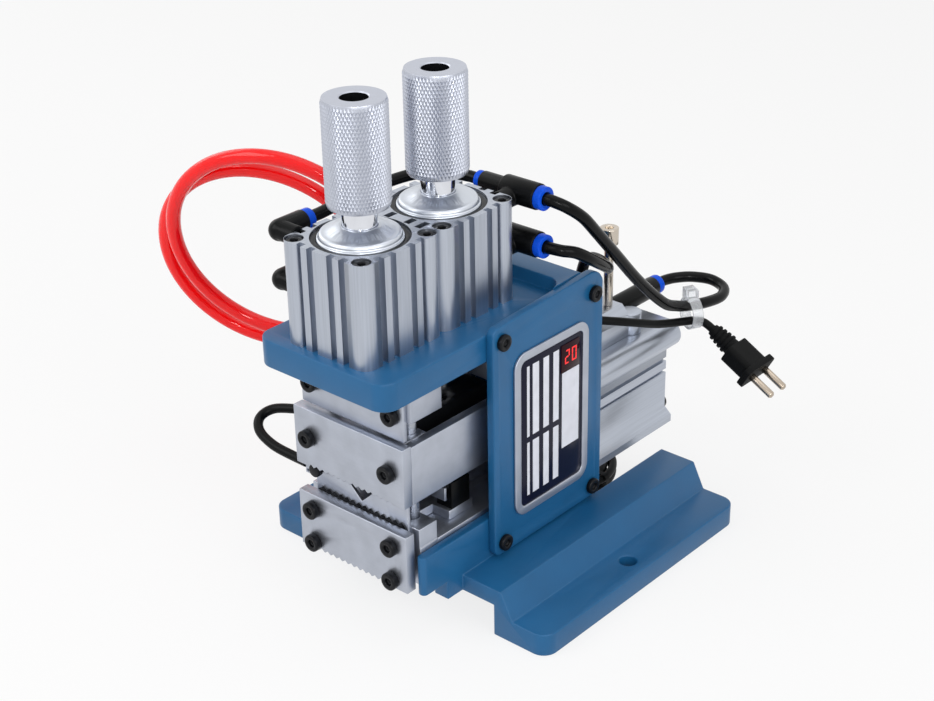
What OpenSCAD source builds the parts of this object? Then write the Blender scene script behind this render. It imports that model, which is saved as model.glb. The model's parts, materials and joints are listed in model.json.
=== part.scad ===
// Pneumatic bench wire stripper: two upright air cylinders close a pair of jaws and a pair of
// blades on the wire, and a lying air cylinder pulls the blades back to strip it.
// Millimetres. X to the right, Y to the back, Z up. The origin is midway between the two
// bolt holes of the base, on its underside.

/* [Base casting] */
// Width over both flanges
base_w = 187; // [175:1:205]
// Length of the flanges
base_len = 160; // [140:1:180]
// Front edge of the flanges to the line of the bolt holes
bolt_setback = 78; // [70:1:88]
// Width of one flange
flange_w = 21; // [18:1:26]
// Thickness of the flange
flange_t = 12; // [8:0.5:16]
// Width of the slope from flange to shelf
slope_w = 7; // [4:0.5:10]
// Height of the shelf
shelf_z = 26; // [22:0.5:30]
// Wall of the casting
cast_wall = 9; // [6:0.5:11]
// Bolt hole in each flange
bolt_hole_d = 9; // [6:0.5:11]
// Corner radius of the flanges
flange_r = 8; // [3:0.5:10]
// Height of the rails
rail_z = 48; // [44:0.5:52]
// Thickness of each rail
rail_t = 5.2; // [4:0.1:8]
// How far the rails reach in front of the clamp axis
rail_nose = 10; // [8:0.5:14]

/* [Frame plates] */
// Width between the side plates
body_w = 83; // [80:0.5:92]
// Thickness of a side plate
side_t = 4.5; // [3:0.5:8]
// Length of a side plate
side_len = 83; // [70:1:90]
// How far the side plates rise past the top plate in front
side_rise = 3.5; // [1:0.5:6]
// How much more they rise at the rear
side_slope = 3.5; // [0:0.5:6]
// Underside of the top plate
head_z = 133.5; // [130:0.5:140]
// Thickness of the top plate
top_t = 14; // [10:0.5:18]
// Top plate in front of the clamp axis
top_overhang = 31; // [28:0.5:36]
// Rear face of the frame behind the bolt line
frame_back = 24.5; // [22:0.5:30]
// Thickness of the rear plate
rear_t = 10; // [6:0.5:10]
// Thickness of the bed plate
bed_t = 6; // [4:0.5:8]
// How far the bed stands above the rails
bed_proud = 2; // [1:0.5:3]

/* [Upright cylinders] */
// Side of the square cylinder body
cyl_w = 52; // [50:0.5:56]
// Height of the cylinder body
cyl_h = 51; // [48:0.5:60]
// Cylinder bore
bore_d = 40; // [36:0.5:41]
// Piston rod
rod_d = 16; // [12:0.5:18]
// Distance between neighbouring corner bolts
bolt_pitch = 42; // [41:0.5:44]
// Diameter of the end cap's collar
cap_d = 38; // [30:0.5:39]
// How far the collar rises above the body
cap_rise = 4.5; // [2:0.5:7]
// Bolt line to the axis of the front cylinder
clamp_setback = 95; // [93:0.5:97]
// Working stroke of both cylinders
stroke = 8; // [4:0.5:8]
// Thickness of the pistons
piston_t = 12; // [8:0.5:14]

/* [Knobs] */
// Diameter of a knob
knob_d = 30; // [26:0.5:36]
// Length of a knob
knob_len = 50; // [44:0.5:60]
// Hole in the top of a knob
knob_hole_d = 14; // [13:0.5:18]
// Free rod under a knob at rest
knob_gap = 10.5; // [9:0.5:14]

/* [Front jaws] */
// Gap between the front plates and each rail
jaw_play = 0.8; // [0.5:0.1:3]
// Thickness of a front plate
plate_t = 6; // [4:0.5:8]
// Thickness of a toothed clamp blade
saw_t = 1.5; // [1:0.1:2]
// Thickness of the wire guide plate
vee_t = 2; // [1.5:0.1:3]
// Clamp axis to the face of the front plates
plate_reach = 15.3; // [14.5:0.1:17]
// Lower edge of the lower front plate
lower_plate_z = 29; // [28:0.5:31]
// Height of the lower front plate
lower_plate_h = 31; // [29:0.5:32]
// Height of the upper front plate
upper_plate_h = 31.5; // [28:0.5:33]
// Opening between the front plates
jaw_gap = 15.5; // [14.5:0.5:17]
// Pitch of the clamp teeth
tooth_pitch = 4; // [3:0.5:6]
// Height of the clamp teeth
tooth_h = 1.5; // [1:0.1:2]
// Thickness of the side bars of the upper jaw
bar_t = 5; // [4:0.5:6]
// Height of the side bars
bar_h = 30.5; // [26:0.5:31]
// Depth of the jaw blocks
jaw_depth = 12.3; // [11.5:0.1:13]
// Height of the bottom of the wire guide's notch
vee_z = 63; // [62:0.5:66]
// Guide post
post_d = 7; // [5:0.5:8]
// Distance between the guide posts of a pair
post_span = 48; // [46:0.5:50]

/* [Blades] */
// Travel of the blade carriage
strip_travel = 25; // [10:1:25]
// Width of the blade carriage
carriage_w = 38; // [34:0.5:39]
// Thickness of the carriage plate
carriage_t = 5; // [4:0.5:6]
// Thickness of a cutting blade
blade_t = 1.8; // [1:0.1:2]
// Gap between the two vee blades at rest
blade_gap = 12; // [10:0.5:13]
// Carriage post
pin_d = 6; // [4:0.5:6]

/* [Strip cylinder] */
// Length of the lying cylinder
strip_len = 80; // [76:1:110]
// Width of its body
strip_w = 59; // [50:1:60]
// Height of its axis
strip_z = 60; // [59:0.5:62]
// Half height of its body
strip_half_h = 30; // [26:0.5:31]
// Its bore
strip_bore_d = 40; // [32:0.5:44]
// Its rod
strip_rod_d = 10; // [8:0.5:12]
// Radius of its round top rails
strip_ear_r = 7.5; // [5:0.5:8]
// Width of its foot flange
strip_foot_w = 68; // [62:1:70]

/* [Fittings and cords] */
// Radius of a push-in fitting
fitting_r = 6.5; // [5:0.1:7]
// Length of a release collar
collar_len = 4; // [2:0.5:5]
// Black air tube
tube_d = 6; // [4:0.5:6]
// Red supply hose
hose_d = 8; // [6:0.5:8]
// Mains lead
lead_d = 4.5; // [3.5:0.5:4.5]
// Sleeved sensor lead
sensor_d = 5; // [3:0.5:5]
// Radius of the loops of the red hose
hose_loop_r = 58; // [56:1:60]
// Turns of the put away mains lead
lead_turns = 3.75; // [1.75:1:3.75]
// Inner radius of the put away mains lead
lead_coil_r = 20; // [18:0.5:20]

/* [Hidden] */
$fn = 48;

// Clearances
run = 0.05;
slip = 0.3;
hole_play = 0.5;
cut = 1;

// Colours
blue = "#3f78a8";
silver = "#b9bec9";
steel = "#8d9096";
black = "#1c1c1e";
collar_blue = "#1f50d0";
hose_red = "#d8141c";

// Base
base_x = base_w / 2;
base_y0 = -bolt_setback;
base_y1 = base_y0 + base_len;
flange_x = base_x - flange_w;
shelf_x = flange_x - slope_w;
bolt_x = base_x - flange_w / 2;
body_x = body_w / 2;
deck_z = shelf_z - cast_wall;
channel_x = body_x - cast_wall;
bed_x = body_x - rail_t - slip;
bed_z = rail_z + bed_proud;
seat_z = bed_z - bed_t;
channel_z = seat_z - cast_wall;
wing_x = body_x + 2.5;
web_t = 4;
grommet_r = lead_d / 2 + 2;
grommet_lip = 1.5;

// Frame
clamp_y = -clamp_setback;
blade_y = clamp_y + cyl_w;
top_z = head_z + top_t;
top_y0 = clamp_y - top_overhang;
top_r = 9;
side_y0 = frame_back - side_len;
side_z0 = shelf_z + 1.5;
side_z1 = top_z + side_rise;
side_r = 4;
ledge_y = blade_y + cyl_w / 2 + 15.5;
ledge_t = 14;
ledge_h = side_rise + side_slope;
ledge_r = 8;
rear_y0 = frame_back - rear_t;
side_screw_y = [side_y0 + 6.5, frame_back - 7.5];
side_screw_z = [shelf_z + 8, head_z + top_t / 2 + 2.5];
side_screw_r = 2;
side_head_r = 4.2;
side_head_h = 2.6;
side_shank = 13;

// Control panel
panel_y0 = side_y0 + 14;
panel_y1 = frame_back - 12.5;
panel_z0 = shelf_z + 17.3;
panel_z1 = head_z - 1.5;
panel_r = 8;
bezel_w = 4.5;
bezel_t = 1.4;
overlay_t = 0.8;
display_w = 14;
display_h = 15;
display_t = 0.5;
display_inset = 3;

// Cylinders
cyl_z1 = top_z + cyl_h;
end_wall = 9;
cap_depth = 8;
cap_z1 = cyl_z1 + cap_rise;
ring_recess_r = bore_d / 2 + 3;
ring_recess_h = 4;
ring_t = ring_recess_h - 1;
cyl_bolt_r = 2.5;
cyl_head_r = 4.2;
cyl_head_h = 4;
cyl_head_sink = 0.8;
cyl_bolt_grip = 9;
piston_z0 = cyl_z1 - cap_depth - slip - piston_t;
knob_z0 = cap_z1 + knob_gap;
knob_thread_r = 6;
knob_sleeve = 30;
knob_hole_depth = 11;
rod_top = knob_z0 + knob_sleeve - slip;
lobe_r = 6;
groove_list = [[13.6, 3.6, 3.6], [6.2, 3.6, 3]];

// Front jaws, from front to back
front_y = clamp_y - plate_reach;
saw_y = front_y + plate_t;
vee_y = saw_y + saw_t;
jaw_y = vee_y + vee_t;
jaw_back = jaw_y + jaw_depth;
jaw_x = body_x - rail_t - jaw_play;
jaw_w = 2 * jaw_x;
tooth_row = floor((jaw_x - 4) / tooth_pitch) * tooth_pitch;
lower_top = lower_plate_z + lower_plate_h;
upper_z = lower_top + jaw_gap;
vee_top = upper_z - 0.5;
relief_z = vee_top + stroke + 1;
bar_top = upper_z + bar_h;
bar_x = jaw_x - bar_t;
post_x = post_span / 2;
post_r = post_d / 2;
front_post_y = clamp_y + 2;
rear_post_y = frame_back - 21.5;
rear_block_y0 = rear_post_y - 6.5;
rear_block_y1 = rear_post_y + 6.5;
rear_block_h = 20;
guide_z = bar_top + 12;
keeper_z = bar_top + 2.5;
keeper_t = 2.5;
keeper_inset = 2.5;
keeper_x = jaw_x - keeper_inset;
guide_y = clamp_y - rod_d / 2 - hole_play - slip;
guide_depth = 21;
vee_slope = 0.95;
vee_x0 = -38;
vee_x1 = bar_x - slip;
vee_foot = lower_plate_z + 1;
front_screw_x = 26;
front_head_r = 4.5;
front_head_h = 3.6;
front_shank_r = 2.5;
front_grip = 3.5;
keeper_grip = 5.5;
upper_screw_z = upper_z + 16.5;
lower_screw_z = lower_plate_z + 23;
bottom_screw_z = lower_plate_z + 4.5;
keeper_screw_z = keeper_z + 12;
tooth_screw_r = (jaw_gap - stroke) / 2 - slip;
tooth_screw_x = -27;
tooth_screw_z = upper_z - tooth_screw_r - slip;
rod_stub_r = 5;
rod_stub_len = 14;

// Blade carriage
carriage_z0 = bed_z + slip;
carriage_z1 = carriage_z0 + carriage_t;
lower_blade_y = jaw_back + slip * 3;
upper_blade_y = lower_blade_y + blade_t + slip;
carriage_y0 = lower_blade_y + blade_t;
carriage_y1 = rear_y0 - strip_travel - 1.5;
carriage_x = carriage_w / 2;
holder_y0 = upper_blade_y + blade_t;
holder_y1 = blade_y + 10;
holder_x = 20;
blade_x = 19;
blade_slope = 0.577;
blade_apex = 63;
blade_tip_h = 9;
upper_apex = blade_apex + blade_gap;
upper_blade_top = upper_apex + 23;
holder_z0 = upper_apex + 7;
holder_z1 = upper_apex + 31;
foot_h = 4;
foot_x = 8;
foot_y = 7;
foot_z0 = holder_z1 - 9.5;
neck_r = 5;
neck_top = holder_z1 + 6;
pin_x = 13.5;
pin_y = blade_y - 17;
pin_r = pin_d / 2;
pin_top = holder_z1 - 2;
lug_x = 12;
lug_l = 12;
lug_z1 = strip_z + 8;

// Trigger on the carriage
switch_x0 = carriage_x + 1;
switch_x1 = 30;
switch_y0 = holder_y0 + 12;
switch_l = 13;
switch_z1 = carriage_z1 + 14.5;
feeler_travel = 3;
feeler_t = 1.5;
feeler_y = switch_y0 - feeler_travel - 0.5 - feeler_t;
feeler_z0 = carriage_z1 + 7;
feeler_h = 7;
feeler_x0 = -6;
stem_x = 25;
stem_r = 1.5;
stem_l = 12;

// Strip cylinder and valve
strip_r = strip_bore_d / 2;
strip_x = strip_w / 2;
strip_bottom = strip_z - strip_half_h;
strip_top = strip_z + strip_half_h + 1.5;
strip_back = frame_back + strip_len;
strip_wall = 10;
strip_cap_t = 8;
strip_piston_t = 12;
strip_piston_y = frame_back + strip_wall + 1.5;
strip_ear_x = strip_x + 1.5;
strip_foot_h = 4;
strip_groove = 2.2;
strip_groove_z = [strip_z, strip_z + 7];
strip_bolt_x = 24;
strip_bolt_z = 22;
strip_bolt_grip = 14;
manifold = [[-4, 46], [26, 76]];
manifold_h = 16.5;
manifold_z1 = strip_top + manifold_h;
boss_r = 6;
boss_xy = [23, 79];
boss_h = 12;
coil_x0 = -28;
coil_y = [46.5, 54.5];
coil_w = 7;
coil_h = 22;
screw_xy = [15, 70];
screw_top = 152;
screw_r = 2.5;
screw_head_r = 5;
screw_head_h = 9;

// Push-in fittings: the clamp cylinder's stand on its left face, the blade cylinder's on its back
collar_r = fitting_r - 0.6;
elbow_r = fitting_r - 1.2;
fit_y = blade_y + cyl_w / 2 + 13;
fit_x = -cyl_w / 2 - 12;
port_up = cyl_z1 - 3;
port_low = cyl_z1 - 27.5;
fit_left_y = [clamp_y - 19, clamp_y + 1];
fit_back_x = [8, 29];
fit_neck_x = -6;
fit_neck_r = tube_d / 2 + 1.8;
tail_fit = [11, 101];
tail_fit_l = 40;
tail_fit_y = [manifold[1][1], manifold[1][1] + tail_fit_l];
valve_fit = [8, 56];
valve_fit_z = manifold_z1 + 10;
inlet_y = 70;
inlet_z = 100;
inlet_x = manifold[0][0] - 14;

// Route points of the cords
tube_a_route = [
    [29, -4, 195.5], [36, -4, 195.5], [42, 0, 192.5], [45, 9, 185], [45, 20, 173.5], [44, 36, 157],
    [43, 58, 134], [43, 80, 114], [43, 92, 107.5], [43.5, 104, 103.5], [46, 117, 101.5], [46, 130, 100],
    [41, 140, 100], [31, 143, 101], [21, 139, 101.3], [14.5, 133, 101], [11.8, 127, 101], [11, 121.5, 101],
    [11, 116, 101]
];
tube_b_route = [
    [-38, -94, 195.5], [-38, -84, 195.5], [-39, -62, 196], [-40, -38, 196], [-36, -18, 196],
    [-25, -7, 195.5], [-14, -4, 195.5], [-6, -4, 195.5]
];
tube_c_route = [
    [-38, -94, 171], [-38, -84, 171], [-39, -62, 171], [-40, -38, 171], [-36, -18, 171],
    [-25, -7, 171], [-14, -4, 171], [-6, -4, 171]
];
tube_d_route = [
    [29, -4, 171], [35, -4, 171], [41, -2, 170.5], [45, 4, 168.5], [46.5, 14, 162], [43.5, 29, 152.5],
    [37, 40, 146], [27, 49, 143], [17, 54, 141], [10.5, 56, 136.5], [8, 56, 129], [8, 56, 118]
];
hose_start = [
    [-18, 70, 100], [-28, 70, 100], [-42.2, 67.2, 100], [-54.2, 59.2, 100.5], [-62.2, 47.2, 101.5],
    [-65, 33, 104], [-65, 15, 110.5], [-64, -2, 123]
];
hose_tail = [
    [-128, 7, 65], [-108, 16, 65], [-90, 28, 64], [-76, 45, 60], [-67, 65, 52], [-63, 85, 40],
    [-62, 105, 24], [-62, 125, 10], [-62, 142, 4.6], [-62, 154, 4.2], [-62, 164, 4.2]
];
hose_centre = [-121.5, -34, 141.5];
hose_turns = 1.75;
lead_centre = [-8, 62];
lead_start = [
    [-26, 24.5, 26], [-26, 31, 26], [-27, 38.5, 24.5], [-29.7, 44.5, 20.2], [-33.6, 47.5, 14.2],
    [-37.5, 50.5, 8.2], [-40.2, 56.5, 3.9], [-41.2, 64, 2.4], [-39.3, 71, 2.4]
];
lead_end = [
    [-19, 32.9, 8.4], [-28, 34.6, 12], [-35.5, 37.8, 18.8], [-40.8, 42, 28], [-44, 46.5, 39], [-46, 51, 51],
    [-47, 54, 64], [-47, 53, 77], [-45.5, 47, 90], [-39, 38.5, 101], [-25, 32.5, 109], [-6, 31, 113],
    [12, 33, 114], [25, 40, 113.5], [33, 52, 110.5], [37, 66, 105.5], [38.5, 80, 100], [40.2, 90, 97.2],
    [43.2, 98, 96], [47.5, 103.5, 96], [52.3, 105.8, 95.3], [57.5, 106, 93]
];
sensor_route = [
    [-38, -101.8, 70], [-46, -101.8, 70], [-60, -103, 72], [-72, -101, 75], [-78, -95, 78],
    [-75, -88, 81], [-63, -83, 83], [-52, -79, 84], [-43.5, -72, 84], [-38.8, -63, 84],
    [-38.5, -48, 84], [-38.5, -20, 84], [-38.5, 4, 84], [-38.5, 14.5, 84]
];
plug_at = [57.5, 106, 93];
plug_tilt = 29;
plug_relief = 15;
plug_rib = 1.4;
plug_len = 15;
plug_body_x = 11;
plug_body_y = 17;
plug_face_x = 13;
plug_face_y = 24;
plug_face_t = 3.5;
pin_gap = 5.75;
pin_l = 15;
plug_pin_r = 2;
plug_pin_tip = 1;
tie_at = [45, 104, 99.9];

// Cord geometry
function unit(v) = v / norm(v);
function last(p) = len(p) - 1;
function tangent(p, i) = unit(p[min(i + 1, last(p))] - p[max(i - 1, 0)]);
function across(n, t) = unit(n - (n * t) * t);
function normals(p, up) = [
    for (i = 0, n = across(up, tangent(p, 0)); i <= last(p);
         i = i + 1, n = across(n, tangent(p, min(i, last(p))))) n
];
function blend_point(a, b, c, d, s) =
    (2 * b + (c - a) * s + (2 * a - 5 * b + 4 * c - d) * s * s + (3 * b - a - 3 * c + d) * s * s * s) / 2;
function smooth(p, steps) = [
    for (i = [0 : last(p) - 1]) for (k = [0 : steps - 1])
        blend_point(p[max(i - 1, 0)], p[i], p[i + 1], p[min(i + 2, last(p))], k / steps),
    p[last(p)]
];
// Straight between the first two points, and smooth from there on
function from_port(p, steps) = concat([p[0]], smooth([for (i = [1 : last(p)]) p[i]], steps));
function port_to_port(p, steps) =
    concat([p[0]], smooth([for (i = [1 : last(p) - 1]) p[i]], steps), [p[last(p)]]);
function least_gap(p, d, apart) = min([
    for (i = [0 : last(p)]) for (j = [i + apart : 1 : last(p)]) norm(p[i] - p[j])
]) - d;

// Loops of the red hose stand up beside the left side plate, and each turn sinks behind the one before
hose_across = [0.92, 0.36, 0.18];
hose_rise = [-0.05, -0.33, 0.94];
hose_step = [-15, -14, -9];
loop_rings = 24;
function hose_point(t) = hose_centre
    + (hose_loop_r * cos(360 * t) + hose_step[0] * t) * hose_across
    + (hose_loop_r * sin(360 * t) + hose_step[1] * t) * hose_rise
    + hose_step[2] * t * cross(hose_across, hose_rise);
hose_path = concat(
    from_port(hose_start, 2),
    [for (k = [1 : floor(hose_turns * loop_rings)]) hose_point(k / loop_rings)],
    smooth(hose_tail, 2)
);
// Turns of the lead run inwards on the floor, climb, and run outwards on top of themselves
lead_pitch = lead_d + 0.6;
function lead_climb(t) = max(0, min(1, (t - lead_turns / 2) * 2 + 0.5));
function lead_point(t) = [
    lead_centre[0] + (lead_coil_r + lead_pitch * abs(t - lead_turns / 2)) * cos(180 - 360 * t),
    lead_centre[1] + (lead_coil_r + lead_pitch * abs(t - lead_turns / 2)) * sin(180 - 360 * t),
    lead_d / 2 + 0.1 + lead_pitch * lead_climb(t)
];
coil_ring = 2;
lead_coil_path = [for (k = [coil_ring : lead_turns * loop_rings]) lead_point(k / loop_rings)];
lead_in_path = concat(from_port(lead_start, 3), [lead_point(coil_ring / loop_rings)]);
lead_out_path = concat([lead_point(lead_turns)], smooth(lead_end, 2));
echo(hose_gap = least_gap(hose_path, hose_d, 12));
echo(lead_gap = least_gap(lead_coil_path, lead_d, 12));

module cord(p, d, sides, up) {
    n = normals(p, up);
    points = [
        for (i = [0 : last(p)]) for (k = [0 : sides - 1])
            p[i] + d / 2 * (cos(360 * k / sides) * n[i]
                + sin(360 * k / sides) * cross(tangent(p, i), n[i]))
    ];
    walls = [
        for (i = [0 : last(p) - 1]) for (k = [0 : sides - 1]) for (half = [0, 1])
            let (a = i * sides + k, b = i * sides + (k + 1) % sides)
            half == 0 ? [a, a + sides, b] : [b, a + sides, b + sides]
    ];
    first_cap = [for (k = [1 : sides - 2]) [0, k, k + 1]];
    top = last(p) * sides;
    last_cap = [for (k = [1 : sides - 2]) [top, top + k + 1, top + k]];
    polyhedron(points, concat(walls, first_cap, last_cap));
}

// Shared shapes
module block(low, high) { translate(low) cube(high - low); }

module round_rect(w, l, r) {
    square([w - 2 * r, l], center = true);
    square([w, l - 2 * r], center = true);
    for (x = [-1, 1]) for (y = [-1, 1]) translate([x * (w / 2 - r), y * (l / 2 - r)]) circle(r);
}

// Outline in X and Z, drawn out along Y
module along_y(y0, y1) { translate([0, y1, 0]) rotate([90, 0, 0]) linear_extrude(y1 - y0) children(); }

module rod_y(x, z, r, y0, y1) { translate([x, y0, z]) rotate([-90, 0, 0]) cylinder(r = r, h = y1 - y0); }

module rod_x(y, z, r, x0, x1) { translate([x0, y, z]) rotate([0, 90, 0]) cylinder(r = r, h = x1 - x0); }

module rod_z(x, y, r, z0, z1) { translate([x, y, z0]) cylinder(r = r, h = z1 - z0); }

// Screw with its head above z 0 and its shank below
module socket_screw(head_r, head_h, shank_r, shank_l) {
    socket_r = head_r * 0.5;
    difference() {
        union() {
            cylinder(r = head_r, h = head_h);
            translate([0, 0, -shank_l]) cylinder(r = shank_r, h = shank_l);
        }
        translate([0, 0, head_h * 0.4]) cylinder(r = socket_r, h = head_h, $fn = 6);
    }
}

module facing_front() { rotate([90, 0, 0]) children(); }

// Base and frame
module base_casting() {
    rail_y0 = clamp_y - rail_nose;
    platform_y0 = jaw_back;
    section = [
        [-base_x, 0], [-base_x, flange_t], [-flange_x, flange_t], [-shelf_x, shelf_z],
        [shelf_x, shelf_z], [flange_x, flange_t], [base_x, flange_t], [base_x, 0],
        [shelf_x - cast_wall / 2, 0], [shelf_x - cast_wall / 2, deck_z],
        [-shelf_x + cast_wall / 2, deck_z], [-shelf_x + cast_wall / 2, 0]
    ];
    color(blue) difference() {
        union() {
            intersection() {
                along_y(base_y0, base_y1) polygon(section);
                translate([0, (base_y0 + base_y1) / 2, 0])
                    linear_extrude(rail_z) round_rect(base_w, base_len, flange_r);
            }
            block([-body_x, platform_y0, deck_z], [body_x, frame_back, seat_z]);
            for (x = [-body_x, body_x - rail_t])
            {
                block([x, rail_y0 + rail_t / 2, shelf_z + 1], [x + rail_t, frame_back, rail_z]);
                rod_z(x + rail_t / 2, rail_y0 + rail_t / 2, rail_t / 2, shelf_z + 1, rail_z);
            }
        }
        block([-channel_x, platform_y0 - cut, -cut], [channel_x, frame_back - web_t, channel_z]);
        block([-wing_x, frame_back, -cut], [wing_x, base_y1 + cut, rail_z + cut]);
        for (x = [-bolt_x, bolt_x]) rod_z(x, 0, bolt_hole_d / 2, -cut, flange_t + cut);
        for (x = [-1, 1]) for (y = side_screw_y)
            rod_x(y, side_screw_z[0], side_screw_r + run, x * body_x - 10, x * body_x + 10);
        rod_y(lead_start[0][0], lead_start[0][2], grommet_r, frame_back - web_t - cut, frame_back + cut);
    }
}
module cord_grommet() {
    color(black) {
        rod_y(lead_start[0][0], lead_start[0][2], grommet_r - run, frame_back - web_t, frame_back);
        rod_y(lead_start[0][0], lead_start[0][2], grommet_r + grommet_lip,
            frame_back - web_t - grommet_lip, frame_back - web_t);
    }
}

module bed_plate() {
    color(silver) block([-bed_x, jaw_back, seat_z], [bed_x, rear_y0 - run, bed_z]);
}

// Side plate, higher at the rear with a large round corner there
module side_plate_outline() {
    corner_r = 9;
    hull() {
        translate([(side_y0 + frame_back) / 2, (side_z0 + side_z1) / 2])
            round_rect(side_len, side_z1 - side_z0, side_r);
        translate([frame_back - corner_r, side_z1 + side_slope - corner_r]) circle(r = corner_r);
    }
}

module side_plate(x0) {
    difference() {
        translate([x0, 0, 0]) rotate([90, 0, 90]) linear_extrude(side_t) side_plate_outline();
        for (y = side_screw_y) for (z = side_screw_z)
            rod_x(y, z, side_screw_r + run, x0 - cut, x0 + side_t + cut);
    }
}

module right_side_plate() { color(blue) side_plate(body_x); }

module left_side_plate() { color(blue) side_plate(-body_x - side_t); }

module side_plate_screws() {
    face = body_x + side_t;
    color(black) for (x = [-1, 1]) for (y = side_screw_y) for (z = side_screw_z)
        translate([x * face, y, z]) rotate([0, x * 90, 0])
            socket_screw(side_head_r, side_head_h, side_screw_r, side_shank);
}

module top_plate_outline() {
    length = frame_back - top_y0;
    translate([0, top_y0 + length / 2]) round_rect(body_w, length, top_r);
    translate([-body_x, frame_back - top_r]) square([body_w, top_r]);
}

// Ledge behind the cylinders, with a round inner corner at each side plate
module ledge_outline() {
    translate([-body_x, ledge_y]) square([body_w, ledge_t]);
    for (x = [-1, 1]) translate([x * (body_x - ledge_r), ledge_y - ledge_r]) difference() {
        translate([x > 0 ? 0 : -ledge_r, 0]) square([ledge_r, ledge_r + 1]);
        circle(r = ledge_r);
    }
}

module top_plate() {
    color(blue) difference() {
        union() {
            translate([0, 0, head_z]) linear_extrude(top_t) top_plate_outline();
            translate([0, 0, top_z - 1]) linear_extrude(ledge_h + 1) ledge_outline();
        }
        for (y = [clamp_y, blade_y]) {
            rod_z(0, y, rod_d / 2 + hole_play, head_z - cut, top_z + cut);
            for (x = [-1, 1]) for (s = [-1, 1])
                rod_z(x * bolt_pitch / 2, y + s * bolt_pitch / 2, cyl_bolt_r + run,
                    top_z - cyl_bolt_grip - slip, top_z + cut);
        }
        for (x = [-1, 1]) for (y = side_screw_y)
            rod_x(y, side_screw_z[1], side_screw_r + run, x * body_x - 10, x * body_x + 10);
    }
}

module rear_plate() {
    color(blue) difference() {
        block([-body_x, rear_y0, rail_z], [body_x, frame_back, head_z]);
        rod_y(0, strip_z, strip_rod_d / 2 + hole_play, rear_y0 - cut, frame_back + cut);
    }
}

// Control panel on the right side plate
module panel_outline(inset) {
    translate([(panel_y0 + panel_y1) / 2, (panel_z0 + panel_z1) / 2])
        round_rect(panel_y1 - panel_y0 - 2 * inset, panel_z1 - panel_z0 - 2 * inset, panel_r - inset);
}

module on_right_plate(lift) {
    translate([body_x + side_t + lift, 0, 0]) rotate([90, 0, 90]) children();
}

module control_bezel() {
    color("silver") on_right_plate(0) linear_extrude(bezel_t) difference() {
        panel_outline(0);
        panel_outline(bezel_w);
    }
}

module control_overlay() {
    color("#16182a") on_right_plate(0) linear_extrude(overlay_t) panel_outline(bezel_w + run);
}

module display_window() {
    color("#5a0a10") on_right_plate(overlay_t) translate([
        panel_y1 - bezel_w - display_inset - display_w, panel_z1 - bezel_w - display_inset - display_h
    ]) linear_extrude(display_t) square([display_w, display_h]);
}

// Upright cylinders
module cylinder_section() {
    difference() {
        round_rect(cyl_w, cyl_w, lobe_r);
        for (turn = [0 : 90 : 270]) rotate(turn) for (g = groove_list) for (s = [-1, 1])
            translate([s * g[0], cyl_w / 2]) square([g[1], 2 * g[2]], center = true);
    }
}

module upright_cylinder(y) {
    color(silver) difference() {
        translate([0, y, top_z]) linear_extrude(cyl_h) cylinder_section();
        rod_z(0, y, bore_d / 2, top_z + end_wall, cyl_z1 + cut);
        rod_z(0, y, rod_d / 2 + run, top_z - cut, cyl_z1);
        rod_z(0, y, ring_recess_r, cyl_z1 - ring_recess_h, cyl_z1 + cut);
        for (x = [-1, 1]) for (s = [-1, 1]) {
            rod_z(x * bolt_pitch / 2, y + s * bolt_pitch / 2, cyl_bolt_r + run, top_z - cut, cyl_z1);
            rod_z(x * bolt_pitch / 2, y + s * bolt_pitch / 2, cyl_head_r + slip,
                cyl_z1 - cyl_head_h - cyl_head_sink, cyl_z1 + cut);
        }
    }
}

module clamp_cylinder() { upright_cylinder(clamp_y); }

module blade_cylinder() { upright_cylinder(blade_y); }

module cylinder_caps() {
    chamfer = 1;
    hub_h = 3;
    rim_z = cap_z1 - hub_h + 1;
    color(silver) for (y = [clamp_y, blade_y]) translate([0, y, 0]) difference() {
        union() {
            rod_z(0, 0, bore_d / 2 - run, cyl_z1 - cap_depth, cyl_z1);
            rod_z(0, 0, cap_d / 2, cyl_z1, rim_z - chamfer);
            translate([0, 0, rim_z - chamfer])
                cylinder(r1 = cap_d / 2, r2 = cap_d / 2 - chamfer, h = chamfer);
            translate([0, 0, rim_z]) cylinder(r1 = cap_d / 2 - 3, r2 = rod_d / 2 + 2, h = hub_h);
        }
        rod_z(0, 0, rod_d / 2 + run, cyl_z1 - cap_depth - cut, rim_z + hub_h + cut);
    }
}

module snap_rings() {
    mouth = 8;
    floor_z = cyl_z1 - ring_recess_h;
    color(black) for (y = [clamp_y, blade_y]) translate([0, y, 0]) difference() {
        rod_z(0, 0, ring_recess_r - 0.2, floor_z, floor_z + ring_t);
        rod_z(0, 0, bore_d / 2 + 0.2, floor_z - cut, floor_z + ring_t + cut);
        block([-mouth / 2, 0, floor_z - cut], [mouth / 2, ring_recess_r + cut, floor_z + ring_t + cut]);
    }
}

// Long bolts of the upright cylinders and the four of the lying one
module cylinder_bolts() {
    head_z0 = cyl_z1 - cyl_head_h - cyl_head_sink;
    color(black) {
        for (y = [clamp_y, blade_y]) for (x = [-1, 1]) for (s = [-1, 1])
            translate([x * bolt_pitch / 2, y + s * bolt_pitch / 2, head_z0])
                socket_screw(cyl_head_r, cyl_head_h, cyl_bolt_r, head_z0 - top_z + cyl_bolt_grip);
        for (x = [-1, 1]) for (z = [-1, 1])
            translate([x * strip_bolt_x, strip_back, strip_z + z * strip_bolt_z]) rotate([-90, 0, 0])
                socket_screw(cyl_head_r, cyl_head_h, cyl_bolt_r, strip_bolt_grip);
    }
}
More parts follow.
